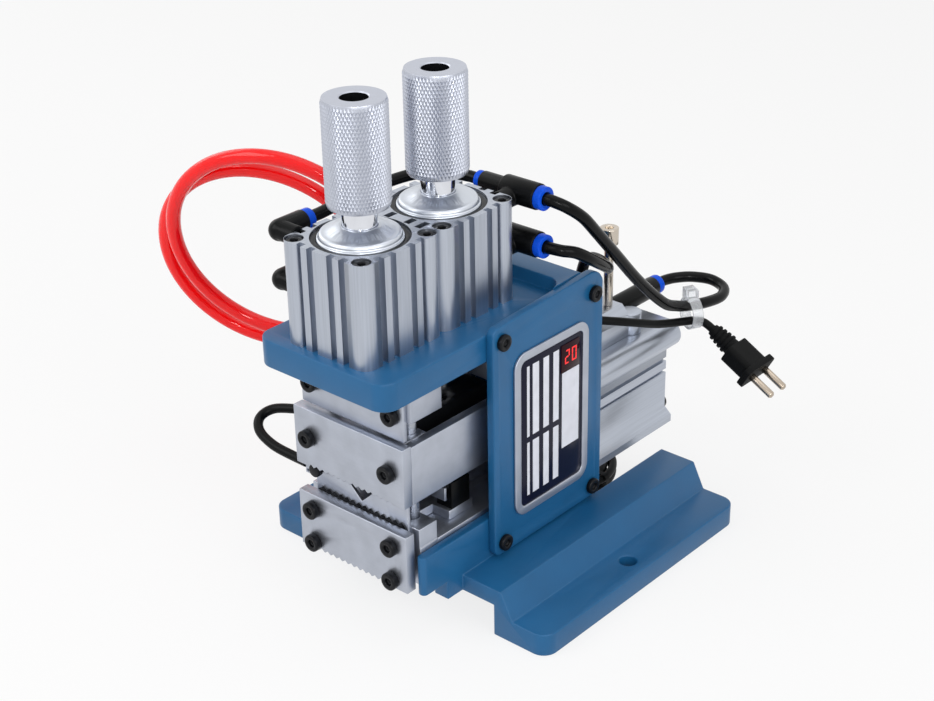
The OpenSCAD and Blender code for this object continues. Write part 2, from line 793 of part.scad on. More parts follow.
// Fixed pieces of the front jaws
module guide_block() {
    color(silver) difference() {
        block([-jaw_x, guide_y, guide_z], [jaw_x, guide_y + guide_depth, head_z]);
        rod_z(0, clamp_y, rod_d / 2 + hole_play, guide_z - cut, head_z + cut);
        for (x = [-1, 1]) rod_z(x * post_x, front_post_y, post_r + run, guide_z - cut, head_z + cut);
        for (x = [-1, 1])
            rod_y(x * front_screw_x, keeper_screw_z, front_shank_r + run,
                guide_y - cut, guide_y + keeper_grip + slip);
    }
}

module keeper_plate() {
    color(silver) difference() {
        block([-keeper_x, guide_y - keeper_t, keeper_z], [keeper_x, guide_y, head_z]);
        for (x = [-1, 1])
            rod_y(x * front_screw_x, keeper_screw_z, front_shank_r + run,
                guide_y - keeper_t - cut, guide_y + cut);
    }
}

module guide_posts() {
    color(steel) for (x = [-1, 1]) for (y = [front_post_y, rear_post_y])
        rod_z(x * post_x, y, post_r, bed_z, head_z - run);
}

module lower_jaw_block() {
    color(silver) difference() {
        union() {
            block([-jaw_x, jaw_y, bed_z], [jaw_x, jaw_back, lower_top]);
            block([-bed_x, jaw_y, lower_plate_z], [bed_x, jaw_back, bed_z]);
        }
        for (x = [-1, 1]) {
            rod_z(x * post_x, front_post_y, post_r + run, bed_z, lower_top + cut);
            for (z = [lower_screw_z, bottom_screw_z])
                rod_y(x * front_screw_x, z, front_shank_r + run, jaw_y - cut, jaw_y + front_grip + slip);
        }
    }
}

// Row of teeth along X that point up or down
module teeth(x0, x1, z, way) {
    count = floor((x1 - x0) / tooth_pitch);
    polygon(concat(
        [for (k = [0 : count]) each [
            [x0 + k * tooth_pitch, z],
            [x0 + (k + (k < count ? 0.5 : 0)) * tooth_pitch, z + (k < count ? way * tooth_h : 0)]
        ]],
        [[x0 + count * tooth_pitch, z - way], [x0, z - way]]
    ));
}

module clamp_blade_outline(z0, z1) {
    translate([-tooth_row, z0]) square([2 * tooth_row, z1 - z0]);
    teeth(-tooth_row, tooth_row, z1, 1);
    teeth(-tooth_row, tooth_row, z0, -1);
}

module lower_clamp_blade() {
    color(steel) difference() {
        along_y(saw_y, saw_y + saw_t) clamp_blade_outline(lower_plate_z, lower_top);
        for (x = [-1, 1]) for (z = [lower_screw_z, bottom_screw_z])
            rod_y(x * front_screw_x, z, front_shank_r + run, saw_y - cut, saw_y + saw_t + cut);
    }
}

module lower_front_plate() {
    bevel = 2;
    color(silver) difference() {
        block([-jaw_x, front_y, lower_plate_z], [jaw_x, saw_y, lower_top]);
        along_y(front_y - cut, saw_y + cut) teeth(-tooth_row, tooth_row, lower_plate_z, 1);
        translate([-jaw_x - cut, front_y, lower_top]) rotate([45, 0, 0])
            cube([jaw_w + 2 * cut, bevel, bevel], center = false);
        for (x = [-1, 1]) for (z = [lower_screw_z, bottom_screw_z])
            rod_y(x * front_screw_x, z, front_shank_r + run, front_y - cut, saw_y + cut);
    }
}

module wire_guide_plate() {
    mouth = (vee_top - vee_z) / vee_slope;
    tab_r = 5;
    color(silver) difference() {
        along_y(vee_y, jaw_y) difference() {
            union() {
                polygon([
                    [-jaw_x + tab_r, vee_foot], [vee_x1, vee_foot], [vee_x1, vee_top], [mouth, vee_top],
                    [0, vee_z], [-mouth, vee_top], [-jaw_x + tab_r, vee_top]
                ]);
                translate([vee_x0, vee_top - 2 * tab_r]) square([-jaw_x + tab_r - vee_x0, 2 * tab_r]);
            }
            translate([vee_x0 + 1.6, vee_top - 2 * tab_r + 1.6]) circle(0.8);
        }
        for (x = [-1, 1]) for (z = [lower_screw_z, bottom_screw_z])
            rod_y(x * front_screw_x, z, front_shank_r + run, vee_y - cut, jaw_y + cut);
    }
}

module front_screws() {
    shank = jaw_y - front_y + front_grip;
    color(black) {
        for (x = [-1, 1]) for (z = [lower_screw_z, bottom_screw_z])
            translate([x * front_screw_x, front_y, z]) facing_front()
                socket_screw(front_head_r, front_head_h, front_shank_r, shank);
        for (x = [-1, 1])
            translate([x * front_screw_x, guide_y - keeper_t, keeper_screw_z]) facing_front()
                socket_screw(front_head_r, front_head_h, front_shank_r, keeper_t + keeper_grip);
    }
}

// Upper jaw, driven by the front cylinder
module clamp_rod() {
    color("#c9ccd2") union() {
        rod_z(0, clamp_y, rod_d / 2, bar_top, rod_top);
        rod_z(0, clamp_y, knob_thread_r, rod_top, rod_top + 9);
        rod_z(0, clamp_y, rod_stub_r, bar_top - rod_stub_len, bar_top);
    }
}

module piston(y) {
    color(steel) difference() {
        rod_z(0, y, bore_d / 2 - run, piston_z0, piston_z0 + piston_t);
        rod_z(0, y, rod_d / 2 + run, piston_z0 - cut, piston_z0 + piston_t + cut);
    }
}

module clamp_piston() { piston(clamp_y); }

module clamp_jaw_block() {
    face_y = vee_y - slip;
    color(silver) difference() {
        union() {
            block([-bar_x, jaw_y + slip, upper_z], [bar_x, jaw_back, bar_top]);
            block([-bar_x, face_y, relief_z], [bar_x, jaw_y + slip, bar_top]);
        }
        rod_z(0, clamp_y, rod_stub_r + run, bar_top - rod_stub_len - slip, bar_top + cut);
        for (x = [-1, 1]) {
            rod_z(x * post_x, front_post_y, post_r + run, upper_z - cut, bar_top + cut);
            rod_y(x * front_screw_x, upper_screw_z, front_shank_r + run,
                face_y - cut, face_y + front_grip + slip);
        }
    }
}

module clamp_side_bars() {
    color(silver) {
        block([bar_x, saw_y, upper_z], [jaw_x, rear_block_y1, bar_top]);
        block([-jaw_x, jaw_y + slip, upper_z], [-bar_x, rear_block_y1, bar_top]);
        block([-jaw_x, saw_y, relief_z], [-bar_x, jaw_y + slip, bar_top]);
    }
}

module clamp_rear_block() {
    color(silver) difference() {
        block([-bar_x, rear_block_y0, bar_top - rear_block_h], [bar_x, rear_block_y1, bar_top]);
        for (x = [-1, 1])
            rod_z(x * post_x, rear_post_y, post_r + run, bar_top - rear_block_h - cut, bar_top + cut);
    }
}

module upper_front_plate() {
    color(silver) difference() {
        block([-jaw_x, front_y, upper_z], [jaw_x, saw_y, upper_z + upper_plate_h]);
        along_y(front_y - cut, saw_y + cut) teeth(-tooth_row, tooth_row, upper_z, 1);
        for (x = [-1, 1])
            rod_y(x * front_screw_x, upper_screw_z, front_shank_r + run, front_y - cut, saw_y + cut);
    }
}

module upper_clamp_blade() {
    tab = 5;
    tab_h = jaw_gap - stroke - tooth_h - 0.8;
    color(steel) difference() {
        along_y(saw_y, vee_y - slip) union() {
            clamp_blade_outline(upper_z, bar_top - 4);
            translate([tooth_screw_x - tab / 2, upper_z - tab_h]) square([tab, tab_h]);
        }
        for (x = [-1, 1])
            rod_y(x * front_screw_x, upper_screw_z, front_shank_r + run, saw_y - cut, vee_y);
    }
}

module upper_plate_screws() {
    shank = vee_y - slip - front_y + front_grip;
    color(black) {
        for (x = [-1, 1]) translate([x * front_screw_x, front_y, upper_screw_z]) facing_front()
            socket_screw(front_head_r, front_head_h, front_shank_r, shank);
        translate([tooth_screw_x, saw_y, tooth_screw_z]) facing_front()
            cylinder(r = tooth_screw_r, h = front_head_h);
    }
}

// Knurled knobs that set the depth of each stroke
module knob(y) {
    chamfer = 1.5;
    z1 = knob_z0 + knob_len;
    color("#d4d7dc") difference() {
        union() {
            rod_z(0, y, knob_d / 2, knob_z0, z1 - chamfer);
            translate([0, y, z1 - chamfer])
                cylinder(r1 = knob_d / 2, r2 = knob_d / 2 - chamfer, h = chamfer);
        }
        rod_z(0, y, rod_d / 2 + run, knob_z0 - cut, rod_top + slip);
        rod_z(0, y, knob_thread_r + run, rod_top, z1);
        rod_z(0, y, knob_hole_d / 2, z1 - knob_hole_depth, z1 + cut);
    }
}

module clamp_knob() { knob(clamp_y); }

module blade_knob() { knob(blade_y); }

// Ram of the rear cylinder, with a tee foot that the blade holder slides on
module blade_rod() {
    color("#c9ccd2") union() {
        rod_z(0, blade_y, rod_d / 2, neck_top, rod_top);
        rod_z(0, blade_y, knob_thread_r, rod_top, rod_top + 9);
        rod_z(0, blade_y, neck_r, foot_z0 + foot_h, neck_top);
        block([-foot_x, blade_y - foot_y, foot_z0], [foot_x, blade_y + foot_y, foot_z0 + foot_h]);
    }
}

module blade_piston() { piston(blade_y); }

module upper_blade_holder() {
    slot_y0 = blade_y - foot_y - strip_travel - 3;
    color(steel) difference() {
        block([-holder_x, holder_y0, holder_z0], [holder_x, holder_y1, holder_z1]);
        block([-foot_x - slip, slot_y0, foot_z0 - slip],
            [foot_x + slip, holder_y1 + cut, foot_z0 + foot_h + slip]);
        block([-neck_r - slip, slot_y0, foot_z0], [neck_r + slip, holder_y1 + cut, holder_z1 + cut]);
        for (x = [-1, 1]) rod_z(x * pin_x, pin_y, pin_r + run, holder_z0 - cut, holder_z1 + cut);
    }
}

module upper_blade() {
    tip = blade_tip_h / blade_slope;
    color("#aab0b8") along_y(upper_blade_y, upper_blade_y + blade_t) polygon([
        [-blade_x, upper_blade_top], [-blade_x, upper_apex - blade_tip_h], [-tip, upper_apex - blade_tip_h],
        [0, upper_apex], [tip, upper_apex - blade_tip_h], [blade_x, upper_apex - blade_tip_h],
        [blade_x, upper_blade_top]
    ]);
}

// Blade carriage on the bed
module carriage_plate() {
    color(silver) difference() {
        union() {
            block([-carriage_x, carriage_y0, carriage_z0], [carriage_x, carriage_y1, carriage_z1]);
            block([carriage_x, switch_y0 - 2, carriage_z0],
                [switch_x1, switch_y0 + switch_l + 2, carriage_z1]);
            block([-lug_x, carriage_y1 - lug_l, carriage_z1], [lug_x, carriage_y1, lug_z1]);
        }
        for (x = [-1, 1]) rod_z(x * pin_x, pin_y, pin_r + run, carriage_z0 - cut, carriage_z1 + cut);
        rod_y(0, strip_z, strip_rod_d / 2 + run, carriage_y1 - lug_l + 2, carriage_y1 + cut);
    }
}

module carriage_posts() {
    color(steel) for (x = [-1, 1]) rod_z(x * pin_x, pin_y, pin_r, carriage_z0, pin_top);
}

module lower_blade() {
    tip = blade_tip_h / blade_slope;
    color("#aab0b8") along_y(lower_blade_y, lower_blade_y + blade_t) polygon([
        [-blade_x, carriage_z0], [blade_x, carriage_z0], [blade_x, blade_apex + blade_tip_h],
        [tip, blade_apex + blade_tip_h], [0, blade_apex], [-tip, blade_apex + blade_tip_h],
        [-blade_x, blade_apex + blade_tip_h]
    ]);
}

module strip_rod() {
    color("#c9ccd2") rod_y(0, strip_z, strip_rod_d / 2,
        carriage_y1 - lug_l + 2 + slip, strip_piston_y + strip_piston_t);
}

module strip_piston() {
    color(steel) difference() {
        rod_y(0, strip_z, strip_r - run, strip_piston_y, strip_piston_y + strip_piston_t);
        rod_y(0, strip_z, strip_rod_d / 2 + run, strip_piston_y - cut, strip_piston_y + strip_piston_t + cut);
    }
}

module trigger_switch() {
    color(black) difference() {
        block([switch_x0, switch_y0, carriage_z1], [switch_x1, switch_y0 + switch_l, switch_z1]);
        rod_y(stem_x, feeler_z0 + feeler_h / 2, stem_r + run, switch_y0 - cut, switch_y0 + switch_l - 1);
    }
}

module trigger_feeler() {
    color(silver) union() {
        block([feeler_x0, feeler_y, feeler_z0], [switch_x1, feeler_y + feeler_t, feeler_z0 + feeler_h]);
        rod_y(stem_x, feeler_z0 + feeler_h / 2, stem_r, feeler_y + feeler_t, feeler_y + feeler_t + stem_l);
    }
}

// Lying strip cylinder and its valve
module strip_section() {
    difference() {
        union() {
            translate([-strip_x, strip_bottom]) square([strip_w, strip_top - strip_bottom - strip_ear_r]);
            translate([-strip_ear_x, strip_top - 2 * strip_ear_r]) square([2 * strip_ear_x, 2 * strip_ear_r]);
            for (x = [-1, 1]) translate([x * strip_ear_x, strip_top - strip_ear_r]) circle(strip_ear_r);
            polygon([
                [-strip_foot_w / 2, strip_bottom], [strip_foot_w / 2, strip_bottom],
                [strip_foot_w / 2, strip_bottom + strip_foot_h], [strip_x, strip_bottom + 2 * strip_foot_h],
                [-strip_x, strip_bottom + 2 * strip_foot_h], [-strip_foot_w / 2, strip_bottom + strip_foot_h]
            ]);
        }
        for (x = [-1, 1]) for (z = strip_groove_z)
            translate([x * strip_x, z]) square([2 * strip_groove, strip_groove], center = true);
    }
}

module strip_cylinder() {
    color(silver) difference() {
        along_y(frame_back, strip_back) strip_section();
        rod_y(0, strip_z, strip_r, frame_back + strip_wall, strip_back + cut);
        rod_y(0, strip_z, strip_rod_d / 2 + run, frame_back - cut, strip_back);
        for (x = [-1, 1]) for (z = [-1, 1])
            rod_y(x * strip_bolt_x, strip_z + z * strip_bolt_z, cyl_bolt_r + run,
                strip_back - strip_bolt_grip - slip, strip_back + cut);
    }
}

module strip_end_cap() {
    color(silver) rod_y(0, strip_z, strip_r - run, strip_back - strip_cap_t, strip_back);
}

module valve_manifold() {
    bevel = 6;
    color(silver) union() {
        along_y(manifold[0][1], manifold[1][1]) polygon([
            [manifold[0][0], strip_top], [manifold[1][0], strip_top], [manifold[1][0], manifold_z1 - bevel],
            [manifold[1][0] - bevel, manifold_z1], [manifold[0][0], manifold_z1]
        ]);
        rod_z(boss_xy[0], boss_xy[1], boss_r, strip_top, strip_top + boss_h);
    }
}

module valve_coils() {
    color(black) for (y = coil_y)
        block([coil_x0, y, strip_top], [manifold[0][0], y + coil_w, strip_top + coil_h]);
}

module stop_screw() {
    color("#c8bfb2") translate([screw_xy[0], screw_xy[1], screw_top - screw_head_h])
        socket_screw(screw_head_r, screw_head_h, screw_r, screw_top - screw_head_h - manifold_z1);
}

// Push-in fittings and their blue collars
module elbow_fittings() {
    color(black) {
        for (z = [port_up, port_low]) {
            rod_y(fit_x, z, elbow_r, fit_left_y[0] + elbow_r, fit_left_y[1]);
            translate([fit_x, fit_left_y[0] + elbow_r, z]) sphere(elbow_r);
            rod_x(fit_left_y[0] + elbow_r, z, elbow_r - 0.5, fit_x, -cyl_w / 2);
        }
        for (z = [port_up, port_low]) {
            rod_x(fit_y, z, fitting_r, fit_back_x[0], fit_back_x[1]);
            rod_x(fit_y, z, fit_neck_r, fit_neck_x, fit_back_x[0]);
            rod_y(fit_back_x[0] + fitting_r, z - 2, fitting_r - 1.5, blade_y + cyl_w / 2, fit_y);
        }
        rod_y(tail_fit[0], tail_fit[1], fitting_r - 1, tail_fit_y[0], tail_fit_y[1]);
        rod_z(valve_fit[0], valve_fit[1], fitting_r - 0.5, manifold_z1, valve_fit_z);
        rod_x(inlet_y, inlet_z, fitting_r, inlet_x, manifold[0][0]);
    }
}

module ring(outer, inner, h) {
    difference() {
        cylinder(r = outer, h = h);
        translate([0, 0, -cut]) cylinder(r = inner, h = h + 2 * cut);
    }
}

module release_collars() {
    bore = tube_d / 2 + slip;
    color(collar_blue) {
        for (z = [port_up, port_low]) {
            translate([fit_x, fit_left_y[1], z]) rotate([-90, 0, 0]) ring(elbow_r - 0.3, bore, collar_len);
            translate([fit_back_x[1], fit_y, z]) rotate([0, 90, 0]) ring(collar_r, bore, collar_len);
            translate([fit_neck_x, fit_y, z]) rotate([0, -90, 0])
                ring(fit_neck_r - 0.3, bore, collar_len - 1);
        }
        translate([tail_fit[0], tail_fit_y[1], tail_fit[1]]) rotate([-90, 0, 0])
            ring(collar_r - 0.6, bore, collar_len);
        translate([valve_fit[0], valve_fit[1], valve_fit_z]) ring(collar_r, bore, collar_len);
        translate([inlet_x, inlet_y, inlet_z]) rotate([0, -90, 0])
            ring(collar_r, hose_d / 2 + slip, collar_len);
    }
}

// Tubes, hose and leads
module air_tubes() {
    up = [0.2, 0.3, 1];
    color(black) {
        cord(port_to_port(tube_a_route, 2), tube_d, 8, [1, 0.2, 0.3]);
        cord(tube_b_route, tube_d, 8, up);
        cord(tube_c_route, tube_d, 8, up);
        cord(tube_d_route, tube_d, 8, [0.2, 1, 0.4]);
    }
}

module red_hose() { color(hose_red) cord(hose_path, hose_d, 8, [0.1, 0.2, 1]); }

module mains_lead() {
    color(black) {
        cord(lead_in_path, lead_d, 8, [1, 0.1, 0.3]);
        cord(lead_out_path, lead_d, 8, [1, 0.1, 0.3]);
    }
}

module mains_coil() { color(black) cord(lead_coil_path, lead_d, 6, [0, 0, 1]); }

module sensor_lead() { color(black) cord(port_to_port(sensor_route, 2), sensor_d, 8, [0.1, 0.2, 1]); }

// Plug, along the end of the lead
module at_plug() { translate(plug_at) rotate([0, 90 + plug_tilt, 0]) children(); }
module plug_body() {
    neck_r0 = lead_d / 2 + 1;
    neck_r1 = plug_body_x / 2 - 0.5;
    color(black) at_plug() union() {
        cylinder(r1 = neck_r0, r2 = neck_r1, h = plug_relief);
        for (k = [1 : floor(plug_relief / (2 * plug_rib)) - 1]) {
            z = (2 * k - 0.5) * plug_rib;
            rib_r = neck_r0 + (neck_r1 - neck_r0) * z / plug_relief + 1;
            translate([0, 0, z]) cylinder(r = rib_r, h = plug_rib);
        }
        translate([0, 0, plug_relief]) linear_extrude(plug_len) round_rect(plug_body_x, plug_body_y, 3);
        translate([0, 0, plug_relief + plug_len])
            linear_extrude(plug_face_t) round_rect(plug_face_x, plug_face_y, 3);
    }
}

module plug_pins() {
    straight = pin_l - plug_pin_tip;
    color("#d8c9a8") at_plug() for (s = [-1, 1])
        translate([0, s * pin_gap, plug_relief + plug_len + plug_face_t]) union() {
            cylinder(r = plug_pin_r, h = straight);
            translate([0, 0, straight])
                cylinder(r1 = plug_pin_r, r2 = plug_pin_r - plug_pin_tip, h = plug_pin_tip);
        }
}

// Clear tie round the tube and the lead
module cord_tie() {
    inner = 8;
    color([0.85, 0.87, 0.92, 0.6]) translate(tie_at) rotate([0, 0, 60]) rotate([0, 90, 0]) union() {
        translate([0, 0, -3]) ring(inner + 0.9, inner, 6);
        translate([-inner - 5, -2, -3]) cube([6, 8, 6]);
    }
}

base_casting();
bed_plate();
right_side_plate();
left_side_plate();
top_plate();
rear_plate();
side_plate_screws();
control_bezel();
control_overlay();
display_window();
clamp_cylinder();
blade_cylinder();
cylinder_caps();
snap_rings();
cylinder_bolts();
guide_block();
keeper_plate();
guide_posts();
lower_jaw_block();
lower_clamp_blade();
lower_front_plate();
wire_guide_plate();
front_screws();
strip_cylinder();
strip_end_cap();
valve_manifold();
valve_coils();
stop_screw();
elbow_fittings();
release_collars();
air_tubes();
red_hose();
cord_grommet();
mains_lead();
mains_coil();
plug_body();
plug_pins();
cord_tie();
sensor_lead();
clamp_rod();
clamp_piston();
clamp_jaw_block();
clamp_side_bars();
clamp_rear_block();
upper_front_plate();
upper_clamp_blade();
upper_plate_screws();
clamp_knob();
blade_knob();
blade_rod();
blade_piston();
carriage_plate();
carriage_posts();
lower_blade();
strip_rod();
strip_piston();
trigger_switch();
upper_blade_holder();
upper_blade();
trigger_feeler();
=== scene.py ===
"""Looks of a pneumatic bench wire stripper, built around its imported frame."""

import json
import math

import bpy
from mathutils import Matrix, Vector


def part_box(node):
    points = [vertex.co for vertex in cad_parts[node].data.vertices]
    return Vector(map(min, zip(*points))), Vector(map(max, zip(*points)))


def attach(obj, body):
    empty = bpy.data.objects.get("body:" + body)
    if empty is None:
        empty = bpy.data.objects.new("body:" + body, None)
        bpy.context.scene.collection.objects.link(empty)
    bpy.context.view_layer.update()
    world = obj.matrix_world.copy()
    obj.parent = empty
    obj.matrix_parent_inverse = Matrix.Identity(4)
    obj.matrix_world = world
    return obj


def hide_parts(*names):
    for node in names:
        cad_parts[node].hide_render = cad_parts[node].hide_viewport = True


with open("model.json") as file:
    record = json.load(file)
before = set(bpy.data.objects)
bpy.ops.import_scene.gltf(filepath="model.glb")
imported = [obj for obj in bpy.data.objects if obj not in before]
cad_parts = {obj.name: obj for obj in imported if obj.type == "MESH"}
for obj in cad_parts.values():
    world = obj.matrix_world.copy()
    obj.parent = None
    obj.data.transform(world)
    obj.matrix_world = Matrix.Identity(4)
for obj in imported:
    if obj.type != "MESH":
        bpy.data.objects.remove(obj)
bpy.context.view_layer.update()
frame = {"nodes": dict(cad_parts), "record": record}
RECORD = frame["record"]
BODY_OF = {n: body for body, names in RECORD["behaviour"]["bodies"].items() for n in names}
SLOT_OF = {part["node"]: part["material_slot"] for part in RECORD["subparts"]}

bl_info = {
    "name": "Wire stripper looks",
    "version": (1, 0, 0),
    "blender": (4, 5, 0),
    "location": "View3D > Sidebar > Wire stripper",
    "description": "Finishes, cords and fine shapes of a pneumatic wire stripper",
    "category": "Object",
}

MM = 0.001
CLOSE = 1e-6
MERGE = 2e-6
EDGE_ANGLE = 32
FLAT_ANGLE = 0.5


# Settings

def hex_rgb(text):
    """Linear RGBA of an sRGB hex value."""
    channels = [int(text[i:i + 2], 16) / 255 for i in (1, 3, 5)]
    linear = [c / 12.92 if c <= 0.04045 else ((c + 0.055) / 1.055) ** 2.4 for c in channels]
    return (*linear, 1.0)


def colour_setting(name, description, text):
    """A colour that a user can pick, from its sRGB hex value."""
    return bpy.props.FloatVectorProperty(name=name, description=description, default=hex_rgb(text), size=4,
                                         min=0, max=1, subtype="COLOR")


def length_setting(name, description, millimetres):
    """A length that a user can change."""
    return bpy.props.FloatProperty(name=name, description=description, default=millimetres * MM, min=0,
                                   unit="LENGTH", precision=5)


class StripperColours(bpy.types.PropertyGroup):
    """Colours of the finishes."""

    paint: colour_setting("Paint", "Enamel of the castings and plates", "#1b5d8c")
    anodised: colour_setting("Anodised", "Drawn cylinder bodies", "#b7bdc8")
    knurled: colour_setting("Knurled", "Knurled setting knobs", "#bcc0cb")
    cap: colour_setting("Caps", "Turned cylinder caps", "#cdd2da")
    milled: colour_setting("Milled", "Milled jaw plates", "#b4b9c4")
    chrome: colour_setting("Chrome", "Piston rods", "#dcdee4")
    blade: colour_setting("Blade steel", "Ground blades", "#a9adb5")
    # black oxide is also used as painted shade inside the knobs' holes
    oxide: colour_setting("Black oxide", "Screws and snap rings", "#16171a")
    nylon: colour_setting("Black nylon", "Push-in fittings", "#08090a")
    collar: colour_setting("Collar", "Release collars", "#0f55e0")
    hose: colour_setting("Hose", "Supply hose", "#fc1013")
    film: colour_setting("Film", "Printed front film", "#14152a")
    print_white: colour_setting("Print", "White print on the film", "#dfe1ea")
    digits: colour_setting("Digits", "Lit digits", "#ff1414")
    pins: colour_setting("Pins", "Nickel-washed brass pins", "#b8ab9c")
    nickel: colour_setting("Nickel", "Stop screw", "#c9bfb2")
    window: colour_setting("Window", "Display window", "#2a0a14")


class StripperSizes(bpy.types.PropertyGroup):
    """Sizes of the fine shapes."""

    plate_edge: length_setting("Plate edge", "Rounding of painted plates", 0.7)
    milled_edge: length_setting("Milled edge", "Broken edge of milled pieces", 0.35)
    fine_edge: length_setting("Fine edge", "Broken edge of small pieces", 0.2)
    blade_edge: length_setting("Blade edge", "Broken edge of blades and films", 0.1)
    plug_edge: length_setting("Plug edge", "Rounding of the moulded plug", 0.25)
    bezel_edge: length_setting("Bezel edge", "Rounding of the panel's bezel", 0.4)
    knurl_pitch: length_setting("Knurl pitch", "Groove to groove round a knob", 1.7)
    knurl_depth: length_setting("Knurl depth", "Depth of the knurl", 0.5)


def colours():
    """The colours that are set in the scene."""
    return bpy.context.scene.stripper_colours


def sizes():
    """The sizes that are set in the scene."""
    return bpy.context.scene.stripper_sizes


# Materials

def shade(colour, factor):
    """The linear colour made lighter or darker."""
    return (*(min(channel * factor, 1) for channel in colour[:3]), 1.0)


def add_node(tree, kind, inputs=None, goes_to=None, **settings):
    """Adds a shader node, sets its settings and inputs, and links sockets in and its result out."""
    made = tree.nodes.new(kind)
    for name, value in settings.items():
        setattr(made, name, value)
    for name, value in (inputs or {}).items():
        if isinstance(value, bpy.types.NodeSocket):
            tree.links.new(value, made.inputs[name])
        else:
            made.inputs[name].default_value = value
    if goes_to:
        output, shader, socket = goes_to
        tree.links.new(made.outputs[output], shader.inputs[socket])
    return made


def new_material(name, **shader):
    """A material with a Principled shader whose sockets take the given values."""
    made = bpy.data.materials.new(name)
    made.use_nodes = True
    surface = made.node_tree.nodes["Principled BSDF"]
    for socket, value in shader.items():
        surface.inputs[socket.replace("_", " ")].default_value = value
    return made, made.node_tree, surface


def spots(tree, wide, detail=3.0, stretch=(1, 1, 1)):
    """Soft spots of a width in metres, on Object coordinates that are stretched along each axis."""
    place = add_node(tree, "ShaderNodeTexCoord").outputs["Object"]
    point = add_node(tree, "ShaderNodeMapping", {"Vector": place, "Scale": stretch}).outputs["Vector"]
    speckle = {"Vector": point, "Scale": 1 / wide, "Detail": detail}
    return add_node(tree, "ShaderNodeTexNoise", speckle).outputs["Fac"]


def painted_enamel():
    """Blue hammered enamel on cast iron: even colour, a soft gloss and a slight orange peel."""
    made, tree, surface = new_material("blue_enamel", Specular_IOR_Level=0.35)
    paint = colours().paint
    cloud = spots(tree, 22 * MM)
    peel = spots(tree, 1.3 * MM, 2.0)
    add_node(tree, "ShaderNodeMix", {"Factor": cloud, "A": shade(paint, 0.84), "B": shade(paint, 1.14)},
             ("Result", surface, "Base Color"), data_type="RGBA")
    add_node(tree, "ShaderNodeMapRange", {"Value": cloud, "To Min": 0.3, "To Max": 0.42},
             ("Result", surface, "Roughness"))
    add_node(tree, "ShaderNodeBump", {"Height": peel, "Distance": 0.06 * MM, "Strength": 0.5},
             ("Normal", surface, "Normal"))
    return made


def drawn_aluminium(name, along):
    """Anodised drawn aluminium: pale satin metal with fine die lines along the draw."""
    # Real die lines are finer than 0.1 mm; these are as coarse as they need to show
    made, tree, surface = new_material(name, Metallic=1.0, Roughness=0.34)
    pale = colours().anodised
    stretch = tuple(0.02 if axis == along else 1 for axis in "XYZ")
    lines = spots(tree, 0.9 * MM, 4.0, stretch)
    cloud = spots(tree, 16 * MM)
    add_node(tree, "ShaderNodeMix", {"Factor": lines, "A": shade(pale, 0.78), "B": shade(pale, 1.12)},
             ("Result", surface, "Base Color"), data_type="RGBA")
    add_node(tree, "ShaderNodeMapRange", {"Value": cloud, "To Min": 0.28, "To Max": 0.42},
             ("Result", surface, "Roughness"))
    add_node(tree, "ShaderNodeBump", {"Height": lines, "Distance": 0.03 * MM, "Strength": 0.6},
             ("Normal", surface, "Normal"))
    return made


def milled_aluminium(name, along):
    """Milled aluminium plate: satin metal with the cutter's fine parallel lines."""
    # The cutter's real lines are about 0.1 mm apart; these are as coarse as they need to show
    made, tree, surface = new_material(name, Metallic=1.0, Roughness=0.4)
    pale = colours().milled
    stretch = tuple(0.03 if axis == along else 1 for axis in "XYZ")
    lines = spots(tree, 0.6 * MM, 3.0, stretch)
    cloud = spots(tree, 9 * MM)
    add_node(tree, "ShaderNodeMix", {"Factor": cloud, "A": shade(pale, 0.82), "B": shade(pale, 1.1)},
             ("Result", surface, "Base Color"), data_type="RGBA")
    add_node(tree, "ShaderNodeMapRange", {"Value": lines, "To Min": 0.32, "To Max": 0.52},
             ("Result", surface, "Roughness"))
    add_node(tree, "ShaderNodeBump", {"Height": lines, "Distance": 0.025 * MM, "Strength": 0.7},
             ("Normal", surface, "Normal"))
    return made


def turned_metal(name, colour, low, high):
    """Turned or ground metal: an even colour whose polish changes a little from place to place."""
    made, tree, surface = new_material(name, Metallic=1.0, Roughness=(low + high) / 2)
    cloud = spots(tree, 3 * MM)
    add_node(tree, "ShaderNodeMix", {"Factor": cloud, "A": shade(colour, 0.94), "B": shade(colour, 1.04)},
             ("Result", surface, "Base Color"), data_type="RGBA")
    add_node(tree, "ShaderNodeMapRange", {"Value": cloud, "To Min": low, "To Max": high},
             ("Result", surface, "Roughness"))
    return made


def black_oxide():
    """Oiled black oxide on steel: near black with a dull metal sheen. The knobs also use it as painted
    shade inside their holes.
    """
    made, tree, surface = new_material("black_oxide_steel_and_hole_shade", Metallic=0.4, Roughness=0.3,
                                       Specular_IOR_Level=0.2)
    oxide = colours().oxide
    cloud = spots(tree, 1.5 * MM)
    add_node(tree, "ShaderNodeMix", {"Factor": cloud, "A": shade(oxide, 0.7), "B": shade(oxide, 1.5)},
             ("Result", surface, "Base Color"), data_type="RGBA")
    add_node(tree, "ShaderNodeMapRange", {"Value": cloud, "To Min": 0.24, "To Max": 0.4},
             ("Result", surface, "Roughness"))
    return made


def moulded(name, colour, low, high, grain=0.5 * MM, depth=0.02 * MM):
    """Moulded or extruded plastic: one colour with a fine surface texture."""
    made, tree, surface = new_material(name, Roughness=(low + high) / 2, IOR=1.5, Specular_IOR_Level=0.12)
    texture = spots(tree, grain, 2.0)
    cloud = spots(tree, 8 * MM)
    add_node(tree, "ShaderNodeMix", {"Factor": cloud, "A": shade(colour, 0.86), "B": shade(colour, 1.14)},
             ("Result", surface, "Base Color"), data_type="RGBA")
    add_node(tree, "ShaderNodeMapRange", {"Value": cloud, "To Min": low, "To Max": high},
             ("Result", surface, "Roughness"))
    add_node(tree, "ShaderNodeBump", {"Height": texture, "Distance": depth, "Strength": 0.5},
             ("Normal", surface, "Normal"))
    return made


